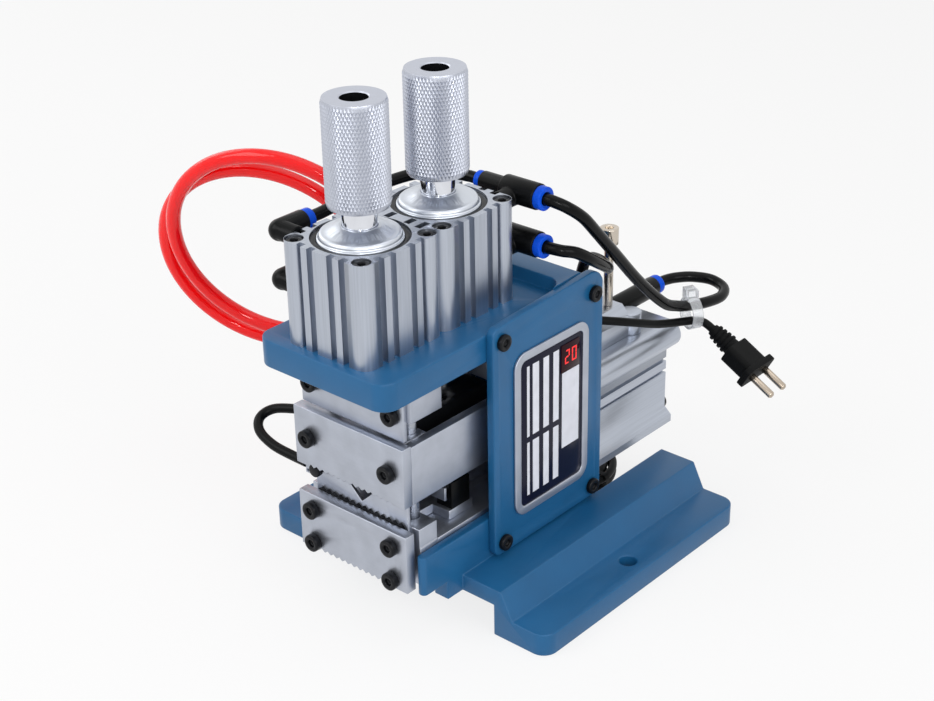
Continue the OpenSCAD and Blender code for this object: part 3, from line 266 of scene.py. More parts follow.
def red_polyurethane():
    """Clear-toned polyurethane hose: saturated red, glossy, with light that soaks in a little."""
    made, tree, surface = new_material("red_polyurethane", Roughness=0.08, IOR=1.5, Subsurface_Weight=0.5,
                                       Subsurface_Scale=0.006, Coat_Weight=0.2, Coat_Roughness=0.04,
                                       Specular_IOR_Level=0.25)
    red = colours().hose
    surface.inputs["Subsurface Radius"].default_value = (1.0, 0.15, 0.12)
    cloud = spots(tree, 14 * MM)
    add_node(tree, "ShaderNodeMix", {"Factor": cloud, "A": shade(red, 0.9), "B": shade(red, 1.1)},
             ("Result", surface, "Base Color"), data_type="RGBA")
    return made


def lit_digits():
    """Lit segments behind a red window: each one is brighter over its lamp than at its ends."""
    glow = colours().digits
    made, tree, surface = new_material("lit_digits", Roughness=0.3, Emission_Color=tuple(glow))
    lamp = spots(tree, 2.5 * MM, 1.0)
    add_node(tree, "ShaderNodeMix", {"Factor": lamp, "A": shade(glow, 0.7), "B": shade(glow, 1.0)},
             ("Result", surface, "Base Color"), data_type="RGBA")
    add_node(tree, "ShaderNodeMapRange", {"Value": lamp, "To Min": 0.3, "To Max": 0.75},
             ("Result", surface, "Emission Strength"))
    return made


def clear_strap():
    """Clear nylon strap: it lets most light through and glints along its edges."""
    made, tree, surface = new_material("clear_nylon", Base_Color=(0.92, 0.94, 0.97, 1), Roughness=0.18,
                                       IOR=1.5, Transmission_Weight=0.75)
    cloud = spots(tree, 2 * MM)
    add_node(tree, "ShaderNodeMapRange", {"Value": cloud, "To Min": 0.1, "To Max": 0.3},
             ("Result", surface, "Roughness"))
    return made


FINISHES = {}


def finish(name):
    """The material of that name, made on first use."""
    if name not in FINISHES:
        c = colours()
        makers = {
            "paint": painted_enamel,
            "drawn_up": lambda: drawn_aluminium("drawn_aluminium_upright", "Z"),
            "drawn_long": lambda: drawn_aluminium("drawn_aluminium_lying", "Y"),
            "milled": lambda: milled_aluminium("milled_aluminium", "X"),
            "milled_long": lambda: milled_aluminium("milled_aluminium_long", "Y"),
            "knurled": lambda: turned_metal("knurled_aluminium", c.knurled, 0.3, 0.42),
            "turned": lambda: turned_metal("turned_aluminium", c.cap, 0.3, 0.42),
            "chrome": lambda: turned_metal("hard_chrome", c.chrome, 0.06, 0.14),
            "blade": lambda: turned_metal("ground_blade_steel", c.blade, 0.2, 0.34),
            "nickel": lambda: turned_metal("nickel_plate", c.nickel, 0.12, 0.24),
            "pins": lambda: turned_metal("nickel_washed_brass", c.pins, 0.18, 0.3),
            "oxide": black_oxide,
            "nylon": lambda: moulded("black_glass_filled_nylon", c.nylon, 0.26, 0.4),
            "collar": lambda: moulded("blue_acetal", c.collar, 0.22, 0.34),
            "tube": lambda: moulded("black_polyurethane_tube", c.nylon, 0.16, 0.28, 2 * MM),
            "pvc": lambda: moulded("black_pvc_sheath", c.nylon, 0.4, 0.55, 0.8 * MM),
            "sleeve": lambda: moulded("black_sleeve", c.nylon, 0.3, 0.45, 0.8 * MM),
            "rubber": lambda: moulded("black_rubber", c.nylon, 0.55, 0.7),
            "film": lambda: moulded("printed_film", c.film, 0.12, 0.2, 3 * MM, 0.01 * MM),
            "print": lambda: moulded("white_print", c.print_white, 0.25, 0.4, 3 * MM, 0.01 * MM),
            "window": lambda: moulded("red_window", c.window, 0.06, 0.12, 4 * MM, 0.005 * MM),
            "hose": red_polyurethane,
            "digits": lit_digits,
            "clear": clear_strap,
        }
        FINISHES[name] = makers[name]()
    return FINISHES[name]


# Modelling helpers

def deselect():
    """Leaves edit mode and selects nothing."""
    if bpy.context.object and bpy.context.object.mode != "OBJECT":
        bpy.ops.object.mode_set(mode="OBJECT")
    bpy.ops.object.select_all(action="DESELECT")


def take_up(piece):
    """Makes one piece the only selected and active object."""
    deselect()
    piece.select_set(True)
    bpy.context.view_layer.objects.active = piece


def mesh_piece(name, points, edges=(), faces=()):
    """A new object from a few points and faces, ready to be shaped."""
    mesh = bpy.data.meshes.new(name)
    mesh.from_pydata(points, list(edges), list(faces))
    piece = bpy.data.objects.new(name, mesh)
    bpy.context.scene.collection.objects.link(piece)
    take_up(piece)
    return piece


def dress(piece, finish_name, body, slot, *nodes):
    """Gives a piece its finish, the body that it rides on and the nodes that it stands for."""
    piece.data.materials.clear()
    piece.data.materials.append(finish(finish_name))
    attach(piece, body)
    if nodes:
        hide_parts(*nodes)


def break_edges(piece, width, segments=2):
    """Rounds the sharp edges of a piece and shades the rest smooth."""
    take_up(piece)
    edge = piece.modifiers.new("Edge", "BEVEL")
    edge.width = width
    edge.segments = segments
    edge.limit_method = "ANGLE"
    edge.angle_limit = math.radians(EDGE_ANGLE)
    edge.use_clamp_overlap = False
    edge.loop_slide = False
    bpy.ops.object.modifier_apply(modifier=edge.name)
    bpy.ops.object.shade_smooth_by_angle(angle=math.radians(EDGE_ANGLE))


def finished_copy(node, finish_name, edge=0.0, segments=2):
    """A copy of a frame solid with its edges broken and its finish, standing for the solid."""
    source = frame["nodes"][node]
    piece = bpy.data.objects.new(node + "_finished", source.data.copy())
    bpy.context.scene.collection.objects.link(piece)
    take_up(piece)
    bpy.ops.object.mode_set(mode="EDIT")
    bpy.ops.mesh.select_all(action="SELECT")
    bpy.ops.mesh.remove_doubles(threshold=MERGE)
    bpy.ops.mesh.dissolve_limited(angle_limit=math.radians(FLAT_ANGLE))
    bpy.ops.object.mode_set(mode="OBJECT")
    if edge:
        break_edges(piece, edge, segments)
    else:
        bpy.ops.object.shade_smooth_by_angle(angle=math.radians(EDGE_ANGLE))
    dress(piece, finish_name, BODY_OF[node], SLOT_OF[node], node)
    return piece


def finish_all(nodes, finish_name, edge=0.0, segments=2):
    """A finished copy of each node."""
    for node in nodes:
        finished_copy(node, finish_name, edge, segments)


def blocks_piece(name, blocks, corner):
    """One object of separate thin blocks, given by their low and high corners, round-cornered along X."""
    piece = mesh_piece(name, [])
    bpy.ops.object.mode_set(mode="EDIT")
    for low, high in blocks:
        low, high = Vector(low), Vector(high)
        bpy.ops.mesh.primitive_cube_add(size=1, location=(low + high) / 2, scale=high - low)
    bpy.ops.mesh.select_mode(type="EDGE")
    bpy.ops.mesh.select_all(action="DESELECT")
    bpy.ops.object.mode_set(mode="OBJECT")
    for edge in piece.data.edges:
        start, end = (piece.data.vertices[k].co for k in edge.vertices)
        edge.select = abs(start.x - end.x) > CLOSE
    bpy.ops.object.mode_set(mode="EDIT")
    bpy.ops.mesh.bevel(offset=corner, segments=3, affect="EDGES")
    bpy.ops.object.mode_set(mode="OBJECT")
    return piece


# Stage: camera, light and floor

CAMERA_PLACE = Vector((523.8, -611.3, 512.0)) * MM
CAMERA_BACK = Vector((0.5943, -0.6651, 0.4523))
CAMERA_RIGHT = Vector((0.7457, 0.6663, 0.0))
CAMERA_ROLL = math.radians(-1.12)
CAMERA_LENS = 68.74
SENSOR_WIDTH = 36
CLIP_START = 10 * MM
LAMP_TARGET = (0, -0.02, 0.1)
FLOOR_DROP = 0.2 * MM
FLOOR_RADIUS = 6
FLOOR_SIDES = 96
FLOOR_GLOW = 0.8
SKY_LIGHT = 0.45
SEEN_RAYS = ("Is Camera Ray", "Is Glossy Ray", "Is Transmission Ray")


def aim(place, target):
    """Matrix of a lamp at a place that shines at a target."""
    turn = (Vector(target) - Vector(place)).to_track_quat("-Z", "Y")
    return Matrix.Translation(place) @ turn.to_matrix().to_4x4()


def seen_rays(tree):
    """1 where the camera, a mirror or clear plastic looks at the background, and 0 for other light."""
    path = add_node(tree, "ShaderNodeLightPath")
    seen = path.outputs[SEEN_RAYS[0]]
    for ray in SEEN_RAYS[1:]:
        both = {0: seen, 1: path.outputs[ray]}
        seen = add_node(tree, "ShaderNodeMath", both, operation="MAXIMUM").outputs[0]
    return seen


class STRIPPER_OT_stage(bpy.types.Operator):
    """Camera at the photograph's viewing angle, soft light and a pale floor."""

    bl_idname = "stripper.stage"
    bl_label = "Stage"

    LAMPS = (
        ("key_softbox", (-0.55, -1.15, 1.05), (0.9, 0.9), 8.0),
        ("right_softbox", (1.25, -0.25, 0.75), (0.8, 0.8), 5.0),
        ("top_softbox", (0.0, 0.25, 1.5), (1.2, 1.2), 3.5),
        ("left_softbox", (-1.3, 0.1, 0.8), (0.8, 0.8), 2.5),
        ("strip_light", (0.85, -0.95, 0.72), (0.14, 0.5), 4.0),
    )

    def execute(self, context):
        self.camera(context.scene)
        for name, place, size, power in self.LAMPS:
            lamp = bpy.data.lights.new(name, "AREA")
            lamp.shape = "RECTANGLE"
            lamp.size, lamp.size_y = size
            lamp.energy = power
            shown = bpy.data.objects.new(name, lamp)
            shown.matrix_world = aim(place, LAMP_TARGET)
            context.scene.collection.objects.link(shown)
        self.world(context.scene)
        self.floor()
        context.scene.view_settings.view_transform = "Standard"
        return {"FINISHED"}

    def camera(self, scene):
        """Camera that was fitted to the photograph, with its slight roll."""
        lens = bpy.data.cameras.new("view")
        lens.lens = CAMERA_LENS
        lens.sensor_width = SENSOR_WIDTH
        lens.sensor_fit = "HORIZONTAL"
        lens.clip_start = CLIP_START
        up = CAMERA_BACK.cross(CAMERA_RIGHT)
        right = CAMERA_RIGHT * math.cos(CAMERA_ROLL) + up * math.sin(CAMERA_ROLL)
        up = CAMERA_BACK.cross(right)
        turn = Matrix((right, up, CAMERA_BACK)).transposed()
        view = bpy.data.objects.new("view", lens)
        view.matrix_world = Matrix.Translation(CAMERA_PLACE) @ turn.to_4x4()
        scene.collection.objects.link(view)
        scene.camera = view

    def world(self, scene):
        """White studio whose light on the object is softer than its look."""
        world = bpy.data.worlds.new("studio")
        world.use_nodes = True
        tree = world.node_tree
        background = tree.nodes["Background"]
        background.inputs["Color"].default_value = (1, 1, 1, 1)
        add_node(tree, "ShaderNodeMapRange", {"Value": seen_rays(tree), "To Min": SKY_LIGHT, "To Max": 1.0},
                 ("Result", background, "Strength"))
        scene.world = world

    def floor(self):
        """White paper floor that keeps the shadow."""
        deselect()
        bpy.ops.mesh.primitive_circle_add(vertices=FLOOR_SIDES, radius=FLOOR_RADIUS, fill_type="NGON",
                                          location=(0, 0, -FLOOR_DROP))
        floor = bpy.context.object
        floor.name = "floor"
        made, tree, surface = new_material("white_paper", Base_Color=(0.86, 0.86, 0.86, 1), Roughness=0.8,
                                           Specular_IOR_Level=0.0)
        glow = add_node(tree, "ShaderNodeEmission", {"Color": (1, 1, 1, 1), "Strength": 1.0})
        share = add_node(tree, "ShaderNodeMath", {0: seen_rays(tree), 1: FLOOR_GLOW}, operation="MULTIPLY")
        shaders = {0: share.outputs[0], 1: surface.outputs[0], 2: glow.outputs[0]}
        add_node(tree, "ShaderNodeMixShader", shaders, (0, tree.nodes["Material Output"], "Surface"))
        floor.data.materials.append(made)


# Cords, with the same route points as the solids, in millimetres

TUBE_ROUTES = {
    "tail_tube": [
        (29, -4, 195.5), (36, -4, 195.5), (42, 0, 192.5), (45, 9, 185), (45, 20, 173.5), (44, 36, 157),
        (43, 58, 134), (43, 80, 114), (43, 92, 107.5), (43.5, 104, 103.5), (46, 117, 101.5), (46, 130, 100),
        (41, 140, 100), (31, 143, 101), (21, 139, 101.3), (14.5, 133, 101), (11.8, 127, 101),
        (11, 121.5, 101), (11, 116, 101)],
    "upper_link_tube": [
        (-38, -94, 195.5), (-38, -84, 195.5), (-39, -62, 196), (-40, -38, 196), (-36, -18, 196),
        (-25, -7, 195.5), (-14, -4, 195.5), (-6, -4, 195.5)],
    "lower_link_tube": [
        (-38, -94, 171), (-38, -84, 171), (-39, -62, 171), (-40, -38, 171), (-36, -18, 171),
        (-25, -7, 171), (-14, -4, 171), (-6, -4, 171)],
    "valve_tube": [
        (29, -4, 171), (35, -4, 171), (41, -2, 170.5), (45, 4, 168.5), (46.5, 14, 162), (43.5, 29, 152.5),
        (37, 40, 146), (27, 49, 143), (17, 54, 141), (10.5, 56, 136.5), (8, 56, 129), (8, 56, 118)],
}
SENSOR_ROUTE = [
    (-38, -101.8, 70), (-46, -101.8, 70), (-60, -103, 72), (-72, -101, 75), (-78, -95, 78),
    (-75, -88, 81), (-63, -83, 83), (-52, -79, 84), (-43.5, -72, 84), (-38.8, -63, 84),
    (-38.5, -48, 84), (-38.5, -20, 84), (-38.5, 4, 84), (-38.5, 14.5, 84)]
HOSE_START = [
    (-18, 70, 100), (-28, 70, 100), (-42.2, 67.2, 100), (-54.2, 59.2, 100.5), (-62.2, 47.2, 101.5),
    (-65, 33, 104), (-65, 15, 110.5), (-64, -2, 123)]
HOSE_TAIL = [
    (-128, 7, 65), (-108, 16, 65), (-90, 28, 64), (-76, 45, 60), (-67, 65, 52), (-63, 85, 40),
    (-62, 105, 24), (-62, 125, 10), (-62, 142, 4.6), (-62, 154, 4.2), (-62, 164, 4.2)]
HOSE_CENTRE = Vector((-121.5, -34, 141.5))
HOSE_ACROSS = Vector((0.92, 0.36, 0.18))
HOSE_RISE = Vector((-0.05, -0.33, 0.94))
HOSE_STEP = (-15, -14, -9)
HOSE_RADIUS = 58
HOSE_TURNS = 1.75
LEAD_START = [
    (-26, 24.5, 26), (-26, 31, 26), (-27, 38.5, 24.5), (-29.7, 44.5, 20.2), (-33.6, 47.5, 14.2),
    (-37.5, 50.5, 8.2), (-40.2, 56.5, 3.9), (-41.2, 64, 2.4), (-39.3, 71, 2.4)]
LEAD_END = [
    (-19, 32.9, 8.4), (-28, 34.6, 12), (-35.5, 37.8, 18.8), (-40.8, 42, 28), (-44, 46.5, 39), (-46, 51, 51),
    (-47, 54, 64), (-47, 53, 77), (-45.5, 47, 90), (-39, 38.5, 101), (-25, 32.5, 109), (-6, 31, 113),
    (12, 33, 114), (25, 40, 113.5), (33, 52, 110.5), (37, 66, 105.5), (38.5, 80, 100), (40.2, 90, 97.2),
    (43.2, 98, 96), (47.5, 103.5, 96), (52.3, 105.8, 95.3), (57.5, 106, 93)]
LEAD_CENTRE = (-8, 62)
LEAD_COIL_RADIUS = 20
LEAD_TURNS = 3.75
LEAD_COIL_FROM = 2
LEAD_COIL_GAP = 0.6
LEAD_FLOOR_GAP = 0.1
TUBE_D = 6
HOSE_D = 8
LEAD_D = 4.5
SENSOR_D = 5
LOOP_STEPS = 24
TUBE_BEVEL = 5


def smooth_route(points, steps=8):
    """A smooth curve through given points."""
    points = [Vector(p) for p in points]
    last = len(points) - 1
    path = []
    for i in range(last):
        a, b, c, d = (points[k] for k in (max(i - 1, 0), i, i + 1, min(i + 2, last)))
        for k in range(steps):
            s = k / steps
            path.append((2 * b + (c - a) * s + (2 * a - 5 * b + 4 * c - d) * s ** 2
                         + (3 * b - a - 3 * c + d) * s ** 3) / 2)
    return path + [points[last]]


def from_port(points, steps=6):
    """Straight out of a fitting to the second point, and smooth from there on."""
    return [Vector(points[0])] + smooth_route(points[1:], steps)


def port_to_port(points, steps=6):
    """Straight at both fittings, and smooth between them."""
    return [Vector(points[0])] + smooth_route(points[1:-1], steps) + [Vector(points[-1])]


def hose_route():
    """Out of the inlet, round the loops and down to the floor."""
    depth = HOSE_ACROSS.cross(HOSE_RISE)
    loops = []
    for k in range(1, int(HOSE_TURNS * LOOP_STEPS) + 1):
        t = k / LOOP_STEPS
        loops.append(HOSE_CENTRE + (HOSE_RADIUS * math.cos(math.tau * t) + HOSE_STEP[0] * t) * HOSE_ACROSS
                     + (HOSE_RADIUS * math.sin(math.tau * t) + HOSE_STEP[1] * t) * HOSE_RISE
                     + HOSE_STEP[2] * t * depth)
    return from_port(HOSE_START + loops + HOSE_TAIL, 4)


def lead_route():
    """Out of the base, round the put away coil, up over the strip cylinder and to the plug."""
    pitch = LEAD_D + LEAD_COIL_GAP
    half = LEAD_TURNS / 2
    coil = []
    for k in range(LEAD_COIL_FROM, int(LEAD_TURNS * LOOP_STEPS) + 1):
        t = k / LOOP_STEPS
        radius = LEAD_COIL_RADIUS + pitch * abs(t - half)
        climb = max(0, min(1, (t - half) * 2 + 0.5))
        angle = math.pi - math.tau * t
        coil.append(Vector((LEAD_CENTRE[0] + radius * math.cos(angle),
                            LEAD_CENTRE[1] + radius * math.sin(angle),
                            LEAD_D / 2 + LEAD_FLOOR_GAP + pitch * climb)))
    return from_port(LEAD_START + coil + LEAD_END, 4)


def tube_curve(name, path, radius):
    """A round tube along a path, both in millimetres."""
    curve = bpy.data.curves.new(name, "CURVE")
    curve.dimensions = "3D"
    curve.bevel_depth = radius * MM
    curve.bevel_resolution = TUBE_BEVEL
    curve.use_fill_caps = True
    spline = curve.splines.new("POLY")
    spline.points.add(len(path) - 1)
    for point, place in zip(spline.points, path):
        point.co = (*(place * MM), 1)
    spline.use_smooth = True
    piece = bpy.data.objects.new(name, curve)
    bpy.context.scene.collection.objects.link(piece)
    return piece


def cord_piece(name, path, diameter, finish_name, nodes, with_pieces=()):
    """One cord along a path in millimetres, standing for the nodes that it is given."""
    piece = tube_curve(name, path, diameter / 2)
    dress(piece, finish_name, "frame", SLOT_OF[nodes[0]], *nodes)
    return piece


class STRIPPER_OT_cords(bpy.types.Operator):
    """Air tubes, red supply hose, mains lead and sensor lead."""

    bl_idname = "stripper.cords"
    bl_label = "Cords"

    BOOT_START = 4
    BOOT_LENGTH = 26
    BOOT_RINGS = 30
    BOOT_R = (4.6, 2.7)
    BOOT_RIB = 0.5
    BOOT_RIB_RINGS = 4
    BOOT_PLAIN = 3
    BOOT_ANGLE = 50
    TIE_R = 2.6
    TIE_STEPS = 5
    TIE_WIDE = 3
    TIE_THICK = 0.06
    TIE_SPAN = (-1.2, 11.4)
    TIE_HEIGHTS = (0.09, 10.2)

    def execute(self, context):
        for name, route in TUBE_ROUTES.items():
            cord_piece(name, port_to_port(route), TUBE_D, "tube", ("air_tubes",))
        cord_piece("supply_hose", hose_route(), HOSE_D, "hose", ("red_hose",))
        plug = finished_copy("plug_body", "rubber", sizes().plug_edge)
        pins = finished_copy("plug_pins", "pins", sizes().fine_edge)
        tie = finished_copy("cord_tie", "clear", sizes().fine_edge)
        lead = lead_route()
        cord_piece("mains_flex", lead, LEAD_D, "pvc", ("mains_lead", "mains_coil"),
                   (plug, pins, tie, self.boot(lead), self.coil_tie()))
        cord_piece("sensor_flex", port_to_port(SENSOR_ROUTE), SENSOR_D, "sleeve", ("sensor_lead",))
        return {"FINISHED"}

    def boot(self, lead):
        """Ribbed strain relief that tapers along the first stretch of the lead."""
        path = self.stretch(lead, self.BOOT_START, self.BOOT_START + self.BOOT_LENGTH, self.BOOT_RINGS)
        piece = tube_curve("lead_boot", path, 1)
        wide, narrow = self.BOOT_R
        first, last = self.BOOT_PLAIN, len(path) - 1 - self.BOOT_PLAIN
        for k, point in enumerate(piece.data.splines[0].points):
            groove = self.BOOT_RIB if k % self.BOOT_RIB_RINGS in (1, 2) and first <= k < last else 0
            point.radius = wide + (narrow - wide) * k / (len(path) - 1) - groove
        take_up(piece)
        bpy.ops.object.convert(target="MESH")
        piece = bpy.context.object
        bpy.ops.object.shade_smooth_by_angle(angle=math.radians(self.BOOT_ANGLE))
        dress(piece, "rubber", "frame", SLOT_OF["cord_grommet"])
        return piece

    def stretch(self, path, start, end, count):
        """Evenly spaced points on a path between two lengths along it."""
        found, run, goals = [], 0.0, [start + (end - start) * k / (count - 1) for k in range(count)]
        for a, b in zip(path, path[1:]):
            step = (b - a).length
            while len(found) < count and goals[len(found)] <= run + step:
                found.append(a.lerp(b, (goals[len(found)] - run) / step))
            run += step
        return found

    def coil_tie(self):
        """Strap round the put away turns."""
        x0, y0 = LEAD_CENTRE[0] + LEAD_COIL_RADIUS, LEAD_CENTRE[1]
        low_x, high_x = (x0 + reach for reach in self.TIE_SPAN)
        low_z, high_z = self.TIE_HEIGHTS
        corners = (
            (high_x, high_z, -1, -1), (low_x, high_z, 1, -1), (low_x, low_z, 1, 1), (high_x, low_z, -1, 1))
        outline = []
        for quarter, (x, z, inward_x, inward_z) in enumerate(corners):
            for k in range(self.TIE_STEPS + 1):
                turn = math.tau / 4 * (quarter + k / self.TIE_STEPS)
                outline.append(Vector((x + self.TIE_R * (inward_x + math.cos(turn)), y0 - self.TIE_WIDE / 2,
                                       z + self.TIE_R * (inward_z + math.sin(turn)))) * MM)
        piece = mesh_piece("coil_tie", outline, [(k, (k + 1) % len(outline)) for k in range(len(outline))])
        bpy.ops.object.mode_set(mode="EDIT")
        bpy.ops.mesh.select_all(action="SELECT")
        bpy.ops.mesh.extrude_region_move(TRANSFORM_OT_translate={"value": (0, self.TIE_WIDE * MM, 0)})
        bpy.ops.mesh.select_all(action="SELECT")
        bpy.ops.mesh.normals_make_consistent(inside=False)
        bpy.ops.object.mode_set(mode="OBJECT")
        wall = piece.modifiers.new("Wall", "SOLIDIFY")
        wall.thickness = self.TIE_THICK * MM
        wall.offset = 1
        bpy.ops.object.modifier_apply(modifier=wall.name)
        dress(piece, "nylon", "frame", SLOT_OF["cord_tie"])
        return piece


# Rigid pieces

class STRIPPER_OT_castings(bpy.types.Operator):
    """Painted base, top plate, side plates and rear plate."""

    bl_idname = "stripper.castings"
    bl_label = "Painted pieces"

    def execute(self, context):
        finished_copy("base_casting", "paint", sizes().plate_edge, 3)
        finish_all(("top_plate", "right_side_plate", "left_side_plate", "rear_plate"), "paint",
                   sizes().plate_edge, 3)
        finished_copy("cord_grommet", "rubber", sizes().milled_edge)
        return {"FINISHED"}


class STRIPPER_OT_cylinders(bpy.types.Operator):
    """Cylinder bodies, their caps, rods and pistons."""

    bl_idname = "stripper.cylinders"
    bl_label = "Cylinders"

    def execute(self, context):
        edge = sizes().milled_edge
        finish_all(("clamp_cylinder", "blade_cylinder"), "drawn_up")
        finished_copy("strip_cylinder", "drawn_long")
        finished_copy("valve_manifold", "drawn_long", edge)
        finish_all(("cylinder_caps", "strip_end_cap"), "turned", sizes().plate_edge, 3)
        finish_all(("clamp_rod", "blade_rod", "strip_rod"), "chrome", edge)
        finish_all(("clamp_piston", "blade_piston", "strip_piston"), "blade", edge)
        finished_copy("valve_coils", "nylon", sizes().plate_edge, 3)
        finished_copy("stop_screw", "nickel", edge)
        return {"FINISHED"}


class STRIPPER_OT_jaws(bpy.types.Operator):
    """Front plates, clamp blades, jaw blocks, guides and the blade carriage."""

    bl_idname = "stripper.jaws"
    bl_label = "Jaws and blades"

    def execute(self, context):
        edge = sizes().milled_edge
        fine = sizes().fine_edge
        finish_all(("upper_front_plate", "lower_front_plate", "keeper_plate", "guide_block",
                    "lower_jaw_block", "clamp_jaw_block", "clamp_rear_block", "wire_guide_plate"),
                   "milled", edge)
        finish_all(("clamp_side_bars", "bed_plate", "carriage_plate"), "milled_long", edge)
        finished_copy("trigger_feeler", "milled", fine)
        finish_all(("lower_clamp_blade", "upper_clamp_blade"), "oxide")
        finish_all(("lower_blade", "upper_blade"), "blade", sizes().blade_edge)
        finish_all(("guide_posts", "carriage_posts"), "blade", fine)
        finished_copy("upper_blade_holder", "oxide", fine)
        finished_copy("trigger_switch", "nylon", edge)
        return {"FINISHED"}


class STRIPPER_OT_fasteners(bpy.types.Operator):
    """Black screws, bolts and snap rings."""

    bl_idname = "stripper.fasteners"
    bl_label = "Fasteners"

    def execute(self, context):
        finish_all(("side_plate_screws", "front_screws", "upper_plate_screws"), "oxide",
                   sizes().plate_edge, 3)
        finished_copy("cylinder_bolts", "oxide", sizes().milled_edge)
        finished_copy("snap_rings", "oxide", sizes().fine_edge)
        return {"FINISHED"}


class STRIPPER_OT_fittings(bpy.types.Operator):
    """Push-in fittings and their release collars."""

    bl_idname = "stripper.fittings"
    bl_label = "Fittings"

    def execute(self, context):
        finished_copy("elbow_fittings", "nylon", sizes().plate_edge, 3)
        finished_copy("release_collars", "collar", sizes().milled_edge, 3)
        return {"FINISHED"}


class STRIPPER_OT_knobs(bpy.types.Operator):
    """Diamond-knurled setting knobs."""

    bl_idname = "stripper.knobs"
    bl_label = "Knobs"

    ROD_R = 8.05 * MM
    THREAD_R = 6.05 * MM
    HOLE_R = 6.5 * MM
    HOLE_DEPTH = 11 * MM
    SLEEVE = 30 * MM
    LIP = 0.7 * MM
    DIAMOND = 1.05
    BREAK = 0.5 * MM
    WITHIN = 0.1 * MM
    KNURL_ANGLE = 25

    def execute(self, context):
        for node in ("clamp_knob", "blade_knob"):
            self.knob(node)
        return {"FINISHED"}

    def knob(self, node):
        """One knob: its outline is spun round its axis, then the knurl is cut."""
        low, high = (Vector(c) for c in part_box(node))
        radius = (high.x - low.x) / 2
        centre = (low + high) / 2
        teeth = round(math.tau * radius / sizes().knurl_pitch)
        knurl_low = low.z + self.LIP
        knurl_high = high.z - self.LIP
        rows = round((knurl_high - knurl_low) / (sizes().knurl_pitch * self.DIAMOND))
        profile = [(self.ROD_R, low.z), (radius - self.LIP, low.z)]
        profile += [(radius, knurl_low + (knurl_high - knurl_low) * k / rows) for k in range(rows + 1)]
        profile += [
            (radius - self.LIP, high.z), (self.HOLE_R + self.BREAK, high.z),
            (self.HOLE_R, high.z - self.BREAK), (self.HOLE_R, high.z - self.HOLE_DEPTH),
            (self.THREAD_R, high.z - self.HOLE_DEPTH), (self.THREAD_R, low.z + self.SLEEVE),
            (self.ROD_R, low.z + self.SLEEVE)]
        points = [(centre.x + r, centre.y, z) for r, z in profile]
        edges = [(k, (k + 1) % len(points)) for k in range(len(points))]
        piece = mesh_piece(node + "_knurled", points, edges)
        bpy.ops.object.mode_set(mode="EDIT")
        bpy.ops.mesh.select_all(action="SELECT")
        bpy.ops.mesh.spin(steps=2 * teeth, angle=math.tau, center=(centre.x, centre.y, 0), axis=(0, 0, 1))
        bpy.ops.mesh.select_all(action="SELECT")
        bpy.ops.mesh.remove_doubles(threshold=CLOSE)
        bpy.ops.mesh.normals_make_consistent(inside=False)
        bpy.ops.object.mode_set(mode="OBJECT")
        self.cut_knurl(piece, centre, radius, knurl_low, knurl_high, rows, 2 * teeth)
        bpy.ops.object.mode_set(mode="EDIT")
        bpy.ops.mesh.select_all(action="SELECT")
        bpy.ops.mesh.quads_convert_to_tris(quad_method="SHORTEST_DIAGONAL")
        bpy.ops.object.mode_set(mode="OBJECT")
        bpy.ops.object.shade_smooth_by_angle(angle=math.radians(self.KNURL_ANGLE))
        dress(piece, "knurled", BODY_OF[node], SLOT_OF[node], node)
        self.paint_hole_shade(piece, centre, high.z)

    def paint_hole_shade(self, piece, centre, top):
        """Painted shade: the screws' black oxide finish on the walls of the hole in the knob's top,
        standing for the shade inside the hole.
        """
        # painted shade: the black oxide finish stands in for the shade inside the hole
        piece.data.materials.append(finish("oxide"))
        for face in piece.data.polygons:
            away = math.hypot(face.center.x - centre.x, face.center.y - centre.y)
            if away < self.HOLE_R + self.WITHIN and face.center.z > top - self.HOLE_DEPTH - self.WITHIN:
                face.material_index = 1

    def cut_knurl(self, piece, centre, radius, knurl_low, knurl_high, rows, columns):
        """Sinks every second point of the knurled band, so that the grooves cross as diamonds."""
        for vertex in piece.data.vertices:
            x, y = vertex.co.x - centre.x, vertex.co.y - centre.y
            inside = knurl_low - CLOSE <= vertex.co.z <= knurl_high + CLOSE
            if not inside or abs(math.hypot(x, y) - radius) > CLOSE:
                continue
            row = round((vertex.co.z - knurl_low) / (knurl_high - knurl_low) * rows)
            column = round(math.atan2(y, x) / math.tau * columns)
            if (row + column) % 2 == 0 or row in (0, rows):
                share = 1 - sizes().knurl_depth / radius
                vertex.co.x = centre.x + x * share
                vertex.co.y = centre.y + y * share


